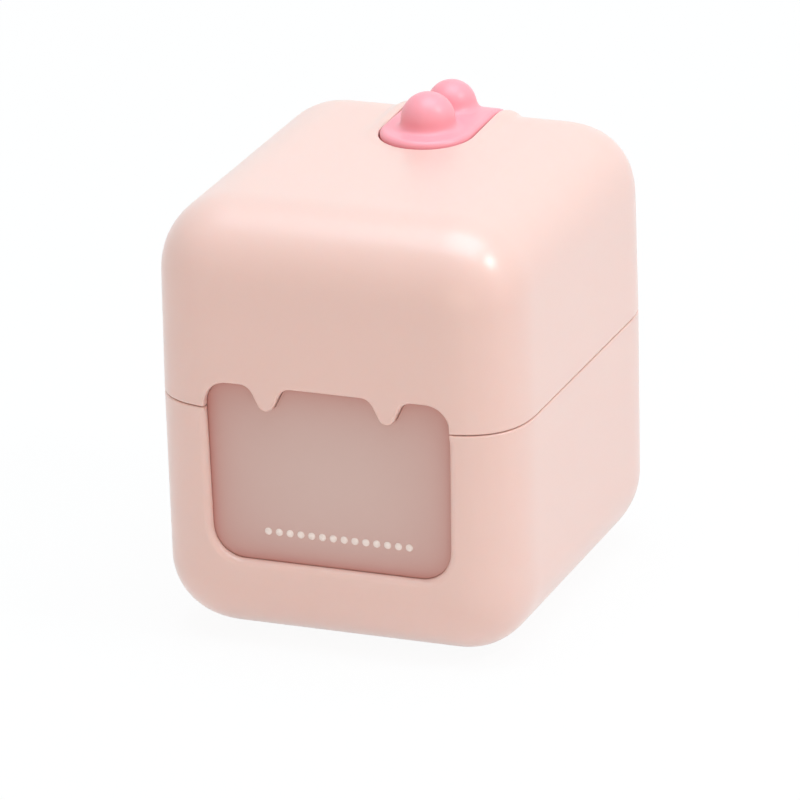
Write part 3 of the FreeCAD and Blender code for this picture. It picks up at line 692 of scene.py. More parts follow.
@dataclass
class Shell:
    """One half of the cube as a closed wall of even thickness."""

    form: SoftForm
    window: Window = field(default_factory=Window)
    wall: float = 2.2
    rim_gap: float = 0.1
    rim_round: float = 0.6
    corner_round: float = 0.4
    edge_round: float = 0.9
    inner_round: float = 0.3
    face_end: float = 41.0
    arc_steps: int = 5
    notch_round: float = 0.8
    rear_step: float = 3.0
    rear_turn: float = 15.0
    front_turns: int = 12
    rear_turns: int = 20
    side_places: int = 24
    rim_tolerance: float = 0.02
    corner_reach: float = 3.0
    corner_fade: float = 2.6
    outer_net: tuple[float, float, int] = (1.3, 3.4, 16)
    outer_room: float = 0.9
    inner_net: tuple[float, float, int] = (2.2, 5.5, 10)
    inner_room: float = 1.2
    net_grid: float = 0.25
    across_step: float = 0.08

    def rim_line(self, rear_notches: Sequence[Pair], notch_depth: float) -> EdgeLine:
        """Edge that runs round the rim, over the window and over the hinge's notches.

        Args:
            rear_notches: low and high x of each notch in the rear wall's rim.
            notch_depth: how far a notch goes into the wall from the parting plane.

        Returns:
            The closed edge.
        """
        form, sign = self.form, self.form.half.value
        rim_z = form.parting + sign * self.rim_gap
        way = -sign
        at_rim = self.window.half_at(rim_z)
        corner = self.corner_round + 0.1
        middle = self.window.upper() if sign > 0 else self.window.lower()
        front = Outline.rounded([(-way * self.face_end, rim_z, 0), (-way * at_rim, rim_z, corner), *middle,
                                 (way * at_rim, rim_z, corner), (way * self.face_end, rim_z, 0)],
                                self.window.step, False)
        flat = [(-way * form.flat_x, rim_z, 0)]
        for low, high in sorted(rear_notches, key=lambda span: way * span[0]):
            near, far = (low, high) if way > 0 else (high, low)
            deep = form.parting + sign * notch_depth
            notch = ((near, rim_z), (near, deep), (far, deep), (far, rim_z))
            flat += [(x, z, self.notch_round) for x, z in notch]
        flat.append((way * form.flat_x, rim_z, 0))
        rear = Outline.rounded(flat, self.rear_step, False, self.rear_turn)
        rows: list[tuple] = []

        def on_face(line: Outline, side: int, mirror: int) -> None:
            for p, d in zip(line.points, line.inward):
                rows.append(((mirror * p[0], p[1]), side, (mirror * d[0], d[1]), (0, 0), (0, 0)))

        def on_side(x: int, places: Array) -> None:
            rows.extend(((0, 0), 0, (0, 0), (x * form.flat_x, y), (x, 0)) for y in places)

        def on_corner(x: int, y: int, angles: Array) -> None:
            anchor = (x * form.flat_x, y * form.flat_y)
            rows.extend(((0, 0), 0, (0, 0), anchor, (x * math.cos(a), y * math.sin(a))) for a in angles)

        end = form.from_face(np.array([self.face_end]), np.array([rim_z]), -1)[0]
        start_angle = math.atan2(-end[1] - form.flat_y, end[0] - form.flat_x)
        down = np.linspace(start_angle, 0, self.front_turns)
        along = np.linspace(-form.flat_y, form.flat_y, self.side_places)
        turns = quarter(self.rear_turns)
        on_face(front, -1, 1)
        on_corner(way, -1, down[1:])
        on_side(way, along[1:])
        on_corner(way, 1, turns[1:-1])
        on_face(rear, 1, -1)
        on_corner(-way, 1, np.linspace(math.pi / 2, 0, self.rear_turns)[1:-1])
        on_side(-way, np.linspace(form.flat_y, -form.flat_y, self.side_places))
        on_corner(-way, -1, np.linspace(0, start_angle, self.front_turns)[1:-1])
        face, side, inward, anchor, direction = (np.array(part, float) for part in zip(*rows))
        run = float(form.run_at(np.array([rim_z]))[0])
        out = np.abs(face[:, 0])
        beside = np.abs(face[:, 1] - rim_z)
        along_rim = (beside < self.rim_tolerance) & (out > at_rim)
        near_corner = (out > at_rim - self.corner_reach) | along_rim
        reach = np.where(along_rim, out - at_rim, beside)
        share = np.clip(np.where(near_corner, (reach - corner) / self.corner_fade, 1.0), 0, 1)
        share = share * share * (3 - 2 * share)
        full = np.where(along_rim, self.rim_round, self.edge_round)
        radius = np.where(side == -1, self.corner_round + (full - self.corner_round) * share, self.rim_round)
        return EdgeLine(form, run, face, side, inward, anchor, direction, radius)

    def build(self, rim: EdgeLine, holes: Sequence[FlatLine], pockets: Sequence[tuple[FlatLine, float]],
              extra: Array) -> Skin:
        """Make the closed wall.

        Args:
            rim: the outer edge.
            holes: edges that go right through the wall.
            pockets: edges of shallow pockets and their depths.
            extra: more places for points of the outer surface.

        Returns:
            The shell's skin, to which more can be added.
        """
        form, skin, flip = self.form, Skin(), self.form.half is Half.BASE
        through = [rim, *holes]
        lines = [*through, *(line for line, _ in pockets)]
        starts = [line.shift(line.radius) for line in lines]
        places = np.vstack([form.mesh_places(*self.outer_net), extra.reshape(-1, 2)])
        pattern, tris = fill(starts[0], starts[1:], self._between(places, starts, self.outer_room))
        indices = skin.add(form.place(pattern), form.normals(pattern))
        skin.tris(indices[tris], flip)
        ends = [line.shift(self.inner_round) for line in through]
        places = self._between(form.mesh_places(*self.inner_net), ends, self.inner_room)
        back, back_tris = fill(ends[0], ends[1:], places)
        back_indices = skin.add(form.inner(back, self.wall), -form.bare_normals(back))
        skin.tris(back_indices[back_tris], not flip)
        first, back_first = 0, 0
        for k, line in enumerate(lines):
            count, radius = len(starts[k]), line.radius[:, None]
            ring, normal, outward = indices[first:first + count], form.normals(starts[k]), self._outward(line)
            first += count
            outward = self._level(outward, normal)
            centre = form.place(starts[k]) - normal * radius
            aims = [normal * math.cos(a) + outward * math.sin(a) for a in quarter(self.arc_steps + 1)[1:]]
            ring = skin.arc(ring, centre, radius, aims)
            if k < len(through):
                inner_normal = form.bare_normals(ends[k])
                inner_out = self._level(outward, inner_normal)
                inner_centre = form.inner(ends[k], self.wall) + inner_normal * self.inner_round
                aims = [inner_out * math.cos(a) - inner_normal * math.sin(a) for a in quarter(3)[:-1]]
                ring = skin.arc(ring, inner_centre, self.inner_round, aims)
                skin.bridge(ring, back_indices[back_first:back_first + count])
                back_first += count
            else:
                depth = pockets[k - len(through)][1]
                low = centre + outward * radius - normal * (depth - radius)
                following = skin.add(low, outward)
                skin.bridge(ring, following)
                floor = skin.add(low, normal)
                middle = skin.add(low.mean(axis=0, keepdims=True), normal.mean(axis=0, keepdims=True))[0]
                skin.faces += [(int(floor[i]), int(floor[(i + 1) % count]), int(middle))
                               for i in range(count)]
        return skin

    def _outward(self, line: EdgeLine | FlatLine) -> Array:
        """Directions in space that lead out of the wall across an edge."""
        near, far = line.shift(line.radius), line.shift(line.radius + self.across_step)
        return unit(line.form.place(near) - line.form.place(far))

    @staticmethod
    def _level(ways: Array, normal: Array) -> Array:
        """Ways laid down into the plane across their normals."""
        return unit(ways - normal * (ways * normal).sum(axis=1, keepdims=True))

    def _between(self, places: Array, loops: Sequence[Array], room: float) -> Array:
        """Keep the places inside the first loop, outside the others and clear of all of them."""
        keep = inside(places, loops[0])
        for loop in loops[1:]:
            keep &= ~inside(places, loop)
        places = places[keep]
        near = np.min([distance(places, loop) for loop in loops], axis=0)
        return thinned(places[near > room], self.net_grid)


# ---- finishes ------------------------------------------------------------------------------------


@dataclass(frozen=True)
class Finish:
    """Moulded plastic, rubber or metal: a colour with slight drifts in it and a fine grain."""

    name: str
    colour: Triple
    drift: Triple
    roughness: float = 0.38
    roughness_drift: float = 0.06
    drift_scale: float = 14.0
    grain_scale: float = 2600.0
    grain: float = 0.02
    speck_share: float = 0.3
    grain_depth: float = 0.0002
    metallic: float = 0.0
    subsurface: float = 0.0
    transmission: float = 0.0
    coat: float = 0.0
    coat_roughness: float = 0.28
    ior: float = 1.47
    subsurface_radius: Triple = (0.004, 0.002, 0.0015)
    slot: str = ""

    def make(self) -> bpy.types.Material:
        """Build the material, or return it if it is there already."""
        title = "moulded_" + self.name
        if title in bpy.data.materials:
            return bpy.data.materials[title]
        material = bpy.data.materials.new(title)
        material.use_nodes = True
        tree = material.node_tree
        place = tree.nodes.new("ShaderNodeTexCoord").outputs["Object"]

        def noise(scale: float, detail: float) -> Socket:
            given = {"Scale": scale, "Detail": detail, "Vector": place}
            return add_node(tree, "ShaderNodeTexNoise", given).outputs["Fac"]

        colour = mixed(tree, noise(self.drift_scale, 3.0), (*self.colour, 1.0), self.drift)
        half = self.roughness_drift / 2
        rough = add_node(tree, "ShaderNodeMapRange", {
            "Value": noise(self.grain_scale * self.speck_share, 2.0),
            "To Min": self.roughness - half, "To Max": self.roughness + half})
        bump = add_node(tree, "ShaderNodeBump", {"Strength": self.grain, "Distance": self.grain_depth,
                                                 "Height": noise(self.grain_scale, 2.0)})
        feed(tree, tree.nodes["Principled BSDF"], {
            "Base Color": self.tinted(tree, colour), "Roughness": rough.outputs["Result"],
            "Normal": bump.outputs["Normal"], "Metallic": self.metallic, "IOR": self.ior,
            "Transmission Weight": self.transmission, "Coat Weight": self.coat,
            "Coat Roughness": self.coat_roughness, "Subsurface Weight": self.subsurface,
            "Subsurface Radius": self.subsurface_radius})
        return material

    def tinted(self, tree: Tree, colour: Socket) -> Socket:
        """Change the colour where a special finish does; a plain one leaves it."""
        return colour


@dataclass(frozen=True)
class FrostedFinish(Finish):
    """Milky see-through plastic with painted shade towards its rim: warmer and darker there, for the shadow
    of the window's frame.
    """

    # colour of the painted shade along the panel's rim, for the frame's shadow on it
    edge: Triple = (0.57, 0.22, 0.184)

    def tinted(self, tree: Tree, colour: Socket) -> Socket:
        """Mix in the colour of the painted rim shade by the piece's attribute that marks where it falls."""
        painted_rim_shade = add_node(tree, "ShaderNodeAttribute", {}, attribute_name="painted_rim_shade")
        return mixed(tree, painted_rim_shade.outputs["Fac"], colour, self.edge)


BLUSH = Finish("blush_plastic", (0.815, 0.520, 0.452), (0.835, 0.550, 0.482), subsurface=0.3, coat=0.8)
PINK = Finish("pink_plastic", (0.950, 0.330, 0.380), (0.970, 0.360, 0.410), roughness=0.38,
              subsurface=0.1, coat=0.1)
FROSTED = FrostedFinish("frosted_plastic", (0.725, 0.500, 0.447), (0.750, 0.527, 0.472), roughness=0.5,
                        transmission=0.1)
CLEAR_WHITE = Finish("clear_white_plastic", (0.800, 0.740, 0.720), (0.830, 0.780, 0.760), roughness=0.42,
                     transmission=0.15)
WHITE = Finish("white_plastic", (0.860, 0.840, 0.820), (0.880, 0.860, 0.850), roughness=0.45)
ACETAL = Finish("acetal_plastic", (0.800, 0.800, 0.780), (0.840, 0.840, 0.820), roughness=0.35)
STEEL = Finish("steel", (0.560, 0.560, 0.570), (0.640, 0.640, 0.650), roughness=0.28, metallic=1.0,
               grain=0.04)
SPRING_STEEL = Finish("spring_steel", (0.480, 0.480, 0.490), (0.560, 0.560, 0.570), roughness=0.24,
                      metallic=1.0)
PALE_PRINT = Finish("pale_print", (0.860, 0.700, 0.640), (0.880, 0.730, 0.670), roughness=0.40,
                    slot="frosted_plastic")
RUBBER = Finish("foot_rubber", (0.560, 0.540, 0.530), (0.610, 0.590, 0.580), roughness=0.7, grain=0.06)


def dressed(piece: Object, finish: Finish, body: str, replaced: Sequence[str] = ()) -> Object:
    """Give a piece its finish and its place in the assembly.

    Args:
        piece: the object.
        finish: its finish.
        body: the body that it rides on.
        replaced: the frame's nodes that it stands for.

    Returns:
        The same object.
    """
    piece.data.materials.clear()
    piece.data.materials.append(finish.make())
    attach(piece, body)
    if replaced:
        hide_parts(*replaced)
    log.info("%s rides on %s, %d faces", piece.name, body, len(piece.data.polygons))
    return piece


# ---- sub-assemblies ------------------------------------------------------------------------------


@dataclass
class Collar:
    """Raised rim round the press strip, which rises towards the rear."""

    front_y: float = 8.0
    half: float = 12.75
    rear_z: float = 103.1
    rim: float = 1.2
    flare: float = 3.6
    tilt: float = 2.4
    top: float = 116.7
    end_back: float = 0.35
    end_places: int = 40
    side_places: int = 42

    def centre(self) -> float:
        """Middle of the slot's round front end, along the flat pattern."""
        return self.front_y + self.half - self.end_back

    def height(self, form: SoftForm, flat: Array) -> Array:
        """Full height of the raised rim over the plain form, by its tilt about the front end."""
        points, normal = form.bare(flat), form.bare_normals(flat)
        rise = (points[:, 1] - self.front_y) * normal[:, 2] + (self.top - points[:, 2]) * normal[:, 1]
        return np.maximum(rise, 0) * math.tan(math.radians(self.tilt))

    def relief(self, form: SoftForm) -> Callable[[Array, Array], Array]:
        """Function that gives the raised height at places on the flat pattern."""
        low, high = self.centre(), form.rear_run(self.rear_z)

        def lift(x: Array, y: Array) -> Array:
            gap = np.hypot(x, y - np.clip(y, low, high)) - self.half
            share = np.clip((gap - self.rim) / self.flare, 0, 1)
            found = np.zeros(len(x))
            near = share < 1
            if near.any():
                flat = np.column_stack([x[near], y[near]])
                found[near] = self.height(form, flat) * (1 + np.cos(math.pi * share[near])) / 2
            return found

        return lift

    def slot_line(self, form: SoftForm, radius: float) -> FlatLine:
        """Edge of the slot that the strip moves in."""
        centre = self.centre()
        a = np.linspace(math.pi, 2 * math.pi, self.end_places)
        front = np.column_stack([self.half * np.cos(a), centre + self.half * np.sin(a)])
        run = np.linspace(centre, form.rear_run(self.rear_z), self.side_places)[1:-1]
        right = np.column_stack([np.full(len(run), self.half), run])
        a = np.linspace(0, math.pi, self.end_places)
        z = self.rear_z - self.half * np.sin(a)
        rear = np.column_stack([self.half * np.cos(a), form.flat_y + form.run_at(z)])
        left = right[::-1] * (-1, 1)
        return FlatLine.round(form, np.vstack([front, right, rear, left]), radius)


@dataclass
class Hinge:
    """Knuckles round one pin behind the rear wall, each on a gusset that grows out of its half."""

    axis_y: float = 57.3
    axis_z: float = 64.5
    radius: float = 3.0
    root: float = 7.0
    wall_y: float = 55.2
    lid_half: float = 13.7
    gap: float = 0.3
    base_length: float = 12.0
    root_depth: float = 0.9
    root_round: float = 0.35
    edge_round: float = 0.3
    step: float = 3.0

    def base_spans(self) -> list[Pair]:
        """Low and high x of the base's two knuckles."""
        low = self.lid_half + self.gap
        return [(-low - self.base_length, -low), (low, low + self.base_length)]

    def knuckle(self, skin: Skin, low: float, high: float, side: int) -> None:
        """Add a knuckle with its gusset.

        Args:
            skin: mesh that it is added to.
            low: its low end along x.
            high: its high end.
            side: 1 for the lid, whose gusset goes up, and -1 for the base.
        """
        far = math.hypot(self.axis_y - self.wall_y, self.root)
        lean = math.atan2(-self.root, self.axis_y - self.wall_y) + math.asin(self.radius / far)
        back = self.axis_y + self.radius
        shoulder = self.root + (back - self.wall_y) * math.tan(lean)
        root_y, soft = self.wall_y - self.root_depth, self.root_round
        corners = [(self.axis_y - self.radius, -self.radius, self.radius), (root_y, 0.0, soft),
                   (root_y, self.root, soft), (self.wall_y, self.root, soft),
                   (back, shoulder, self.radius), (back, -self.radius, self.radius)]
        corners = [(y, self.axis_z + side * z, r) for y, z, r in corners]
        profile = Outline.rounded(corners[::side], self.step)
        skin.slab([profile], Axis.X, low, high, (self.edge_round, self.edge_round))


@dataclass
class Lid:
    """Upper half with its window edge, drips, collar and hinge notches."""

    collar: Collar = field(default_factory=Collar)
    notches: tuple[Pair, ...] = ((-26.3, -13.7), (13.7, 26.3))
    notch_depth: float = 3.3
    slot_round: float = 0.5
    hinge: Hinge = field(default_factory=Hinge)
    boss_x: float = 19.5
    boss_y: Pair = (-36.1, 31.0)
    boss_radius: float = 3.5
    cover_top: float = 105.2
    ceiling: float = 114.5
    rib_y: Pair = (-33.0, -5.5)
    rib_half: float = 4.5
    rib_width: float = 1.2
    rib_low: float = 108.7
    rib_round: float = 0.2
    rib_rims: Pair = (0.15, 0.15)
    sunk: float = 0.8
    lip_y: Pair = (-54.7, -53.5)
    lip_reach: float = 4.0
    lip_inset: float = 0.05
    lip_rims: Pair = (0.2, 0.15)
    bands: tuple[float, ...] = (1.0, 1.6, 2.2, 2.9, 3.6, 4.4, 5.4)

    def build(self) -> Object:
        """Make the lid's shell."""
        form = SoftForm(Half.LID)
        form.relief = self.collar.relief(form)
        shell = Shell(form)
        slot = self.collar.slot_line(form, self.slot_round)
        rim = shell.rim_line(self.notches, self.notch_depth)
        skin = shell.build(rim, [slot], [], np.vstack([slot.shift(offset) for offset in self.bands]))
        self.hinge.knuckle(skin, -self.hinge.lid_half, self.hinge.lid_half, 1)
        top = self.ceiling + self.sunk
        for x, y in product((-self.boss_x, self.boss_x), self.boss_y):
            skin.slab([Outline.circle(x, y, self.boss_radius)], Axis.Z, self.cover_top, top)
        for y in self.rib_y:
            block = Outline.block((-self.rib_half, y), (self.rib_half, y + self.rib_width), self.rib_round)
            skin.slab([block], Axis.Z, self.rib_low, top, self.rib_rims)
        for side in (-1, 1):
            drip = shell.window.drip(side, self.lip_reach, self.lip_inset)
            skin.slab([drip], Axis.Y, *self.lip_y, self.lip_rims)
        return dressed(skin.finish("lid_shell_skin"), BLUSH, "lid", ["lid_shell"])


@dataclass
class Base:
    """Lower half with its window edge, foot pockets and hinge notch."""

    notches: tuple[Pair, ...] = ((-14.0, 14.0),)
    notch_depth: float = 3.3
    foot_x: float = 25.0
    foot_y: float = 31.0
    pocket_radius: float = 5.2
    pocket_depth: float = 0.7
    pocket_round: float = 0.3
    pocket_places: int = 40
    end_radius: float = 19.4
    end_exponent: float = 2.0
    draft: float = 0.35
    edge_round: float = 1.9
    hinge: Hinge = field(default_factory=Hinge)
    bay_boss: Pair = (23.65, 30.0)
    tray_boss: Pair = (40.0, 44.0)
    bay_level: float = 1.2
    bay_floor: float = 21.55
    tray_floor: float = 65.0
    foot_level: float = 8.8
    boss_radius: float = 3.5

    def build(self) -> Object:
        """Make the base's shell."""
        form = SoftForm(Half.BASE, end_radius=self.end_radius, end_exponent=self.end_exponent,
                        draft=self.draft)
        shell = Shell(form, edge_round=self.edge_round)
        pockets = []
        for x, y in product((-self.foot_x, self.foot_x), (-self.foot_y, self.foot_y)):
            circle = Outline.circle(x, y, self.pocket_radius, self.pocket_places)
            pockets.append((FlatLine.round(form, circle.points, self.pocket_round), self.pocket_depth))
        rim = shell.rim_line(self.notches, self.notch_depth)
        skin = shell.build(rim, [], pockets, np.empty((0, 2)))
        for low, high in self.hinge.base_spans():
            self.hinge.knuckle(skin, low, high, -1)
        for (far_x, far_y), low, high in ((self.bay_boss, self.bay_level, self.bay_floor),
                                          (self.tray_boss, self.foot_level, self.tray_floor)):
            for x, y in product((-far_x, far_x), (-far_y, far_y)):
                skin.slab([Outline.circle(x, y, self.boss_radius)], Axis.Z, low, high)
        return dressed(skin.finish("base_shell_skin"), BLUSH, "base", ["base_shell"])


@dataclass
class PressStrip:
    """Pink strip with two balls that grow out of it, as one soft solid."""

    half: float = 12.4
    front_y: float = 8.0
    rear_z: float = 105.1
    proud: float = 1.6
    edge_round: float = 1.5
    skirt: float = 3.6
    root: float = 2.6
    balls: tuple[Triple, ...] = ((21.3, 120.5, 7.15), (38.6, 118.9, 6.6))
    step: float = 0.45
    spans: tuple[Pair, ...] = ((-14, 14), (6, 62), (88, 129.5))
    line_start: float = -4.0
    line_places: int = 420
    probe: float = 0.02
    pulls: int = 4
    least_slope: float = 0.2

    def __post_init__(self) -> None:
        """Find the line of the lid's plain form along the cube's middle."""
        form = SoftForm(Half.LID)
        run = np.linspace(self.line_start, form.flat_y + form.reach, self.line_places)
        self._line, self._run = form.bare(np.column_stack([np.zeros(len(run)), run]))[:, 1:], run
        self._rear_run = form.rear_run(self.rear_z)
        self._form = form

    def _along(self, yz: Array) -> tuple[Array, Array]:
        """Run along the lid's line and height above it, for points in the plane of y and z."""
        start, way = self._line[:-1], np.diff(self._line, axis=0)
        size = (way**2).sum(axis=1)
        best, run, height = np.full(len(yz), np.inf), np.zeros(len(yz)), np.zeros(len(yz))
        for k in range(len(start)):
            gap = yz - start[k]
            share = np.clip(gap @ way[k] / size[k], 0, 1)
            off = gap - share[:, None] * way[k]
            far = (off**2).sum(axis=1)
            closer = far < best
            side = np.sign(way[k, 0] * off[:, 1] - way[k, 1] * off[:, 0])
            best = np.where(closer, far, best)
            run = np.where(closer, self._run[k] + share * (self._run[k + 1] - self._run[k]), run)
            height = np.where(closer, side * np.sqrt(far), height)
        return run, height

    def _depth(self, points: Array, run: Array, height: Array) -> Array:
        """Signed distance to the soft solid, negative inside."""
        x, z = points[:, 0], points[:, 2]
        centre = self.front_y + self.half
        over = np.where(run < centre, run - centre, 0.0)
        fallen = self.rear_z - self._form.level(np.maximum(run - self._form.flat_y, 0))
        over = np.where(run > self._rear_run, fallen, over)
        side = np.hypot(x, over) - self.half + self.edge_round
        top = height - self.proud + self.edge_round
        outside = np.hypot(np.maximum(side, 0), np.maximum(top, 0))
        plate = np.minimum(np.maximum(side, top), 0) + outside - self.edge_round
        plate = np.maximum(plate, -(height + self.skirt))
        for y, level, radius in self.balls:
            ball = np.sqrt(x**2 + (points[:, 1] - y) ** 2 + (z - level) ** 2) - radius
            blend = np.maximum(self.root - np.abs(plate - ball), 0) / self.root
            plate = np.minimum(plate, ball) - blend**2 * self.root / 4
        return plate

    def _field(self, points: Array) -> Array:
        """Signed distance at any points."""
        run, height = self._along(points[:, 1:])
        return self._depth(points, run, height)

    def build(self) -> Object:
        """Make the strip by wrapping a net of small quads round the solid and pulling it tight."""
        axes = [np.arange(low, high, self.step) for low, high in self.spans]
        y, z = np.meshgrid(axes[1], axes[2], indexing="ij")
        run, height = self._along(np.column_stack([y.ravel(), z.ravel()]))
        values = np.empty([len(axis) for axis in axes])
        for i, x in enumerate(axes[0]):
            points = np.column_stack([np.full(y.size, x), y.ravel(), z.ravel()])
            values[i] = self._depth(points, run, height).reshape(y.shape)
        points, quads = net(values, axes)
        for _ in range(self.pulls):
            value = self._field(points)
            slope = np.column_stack([(self._field(points + d) - self._field(points - d)) / (2 * self.probe)
                                     for d in np.eye(3) * self.probe])
            points = points - slope * (value / np.maximum((slope**2).sum(axis=1), self.least_slope))[:, None]
        skin = Skin()
        skin.tris(quads)
        skin.add(points, slope)
        return dressed(skin.finish("press_strip"), PINK, "button", ["button_cap"])


def net(values: Array, axes: Sequence[Array]) -> tuple[Array, Array]:
    """Wrap a net of quads round the region where a field on a regular grid is negative.

    Args:
        values: the field at the grid's points.
        axes: the grid's places along x, y and z.

    Returns:
        The net's points and its quads, which face outwards.
    """
    low = values < 0
    total = np.zeros(np.array(values.shape) - 1, int)
    places = np.zeros((*total.shape, 3))
    weight = np.zeros(total.shape)
    for i, j, k in np.ndindex(2, 2, 2):
        total += low[i:i + total.shape[0], j:j + total.shape[1], k:k + total.shape[2]]
    active = (total > 0) & (total < 8)
    at = np.argwhere(active)
    for axis in range(3):
        for i, j in np.ndindex(2, 2):
            offset = [i, j]
            offset.insert(axis, 0)
            start = at + offset
            end = start.copy()
            end[:, axis] += 1
            a, b = values[tuple(start.T)], values[tuple(end.T)]
            cut = (a < 0) != (b < 0)
            share = np.where(cut, a / np.where(cut, a - b, 1), 0)
            point = start.astype(float)
            point[:, axis] += share
            places[tuple(at.T)] += point * cut[:, None]
            weight[tuple(at.T)] += cut
    found = places[tuple(at.T)] / weight[tuple(at.T)][:, None]
    index = -np.ones(total.shape, int)
    index[tuple(at.T)] = np.arange(len(at))
    origin = np.array([axis[0] for axis in axes])
    step = np.array([axis[1] - axis[0] for axis in axes])
    quads = []
    for axis in range(3):
        one, two = (axis + 1) % 3, (axis + 2) % 3
        first = [slice(None)] * 3
        first[axis] = slice(0, -1)
        second = [slice(None)] * 3
        second[axis] = slice(1, None)
        a, b = low[tuple(first)], low[tuple(second)]
        for outward in (True, False):
            edges = np.argwhere(a & ~b if outward else ~a & b)
            edges = edges[(edges[:, one] > 0) & (edges[:, two] > 0)]
            ring = []
            for s, t in ((-1, -1), (0, -1), (0, 0), (-1, 0)):
                cell = edges.copy()
                cell[:, one] += s
                cell[:, two] += t
                ring.append(index[tuple(cell.T)])
            quad = np.column_stack(ring)
            quads.append(quad if outward else quad[:, ::-1])
    return origin + found * step, np.vstack(quads)


@dataclass
class DrawerFront:
    """Frosted panel of the drawer, cut out for the drips, with a rib behind it for the bin."""

    window: Window = field(default_factory=Window)
    front_y: float = -53.9
    back_y: float = -51.5
    gap: float = 0.02
    rim_round: float = 0.25
    rib_inset: float = 2.8
    rib_wall: float = 1.6
    rib_top: float = 61.4
    rib_depth: float = 4.0
    rib_sunk: float = 0.3
    rib_rims: Pair = (0.1, 0.4)
    back_round: float = 0.1
    clear_share: float = 0.98
    net_grid: float = 0.2
    insets: tuple[float, ...] = (0.3, 0.8, 1.4, 2.2, 3.2, 4.5, 6.2, 8.4)
    net_step: float = 3.0
    # painted shade near the left, right, low and high rims: near share, near reach, far share, far reach
    painted_rim_shade: tuple[Shade, ...] = (
        (0.65, 2.2, 0.4, 13.0), (0.3, 2.5, 0.4, 13.0), (0.55, 2.5, 0.4, 8.0), (0.25, 2.0, 0.5, 8.5))

    def build(self) -> Object:
        """Make the panel and mark how much painted rim shade each of its points gets."""
        outline = self.window.panel()
        outline.points = outline.points + outline.inward * self.gap
        start = outline.points + outline.inward * self.rim_round
        rings = []
        for inset in self.insets:
            ring = start + outline.inward * inset
            rings.append(ring[inside(ring, start) & (distance(ring, start) > inset * self.clear_share)])
        xs = np.arange(-self.window.half_high, self.window.half_high, self.net_step)
        zs = np.arange(self.window.low, self.window.high, self.net_step)
        grid = np.array(list(product(xs, zs)))
        grid = grid[inside(grid, start)]
        grid = grid[distance(grid, start) > self.insets[-1] + self.net_step / 2]
        extra = thinned(np.vstack([*rings, grid]), self.net_grid)
        skin = Skin()
        skin.slab([outline], Axis.Y, self.front_y, self.back_y, (self.rim_round, self.back_round), extra)
        rib = self.window.trough(self.rib_inset, self.rib_wall, self.rib_top)
        skin.slab([rib], Axis.Y, self.back_y - self.rib_sunk, self.back_y + self.rib_depth, self.rib_rims)
        places = np.vstack(skin.points)[:, (0, 2)]
        piece = skin.finish("drawer_front_panel")
        # painted shade of the window's frame on the panel, kept in a point attribute
        painted_rim_shade = piece.data.attributes.new("painted_rim_shade", "FLOAT", "POINT")
        painted_rim_shade.data.foreach_set("value", self._painted_rim_shade(places))
        return dressed(piece, FROSTED, "drawer", ["drawer_front"])

    def _painted_rim_shade(self, places: Array) -> Array:
        """Share of the painted rim shade at places x, z: strong along the rim and in the upper corners."""
        half = self.window.half_low + (self.window.half_high - self.window.half_low) * (
            (places[:, 1] - self.window.low) / (self.window.high - self.window.low))
        left, right = half + places[:, 0], half - places[:, 0]
        low, high = places[:, 1] - self.window.low, self.window.high - places[:, 1]
        plain = np.ones(len(places))
        for room, (near, reach, far, far_reach) in zip((left, right, low, high), self.painted_rim_shade):
            plain *= 1 - np.clip(near * np.exp(-room / reach) + far * np.exp(-room / far_reach), 0, 1)
        return 1 - plain


# ---- pieces that repeat --------------------------------------------------------------------------


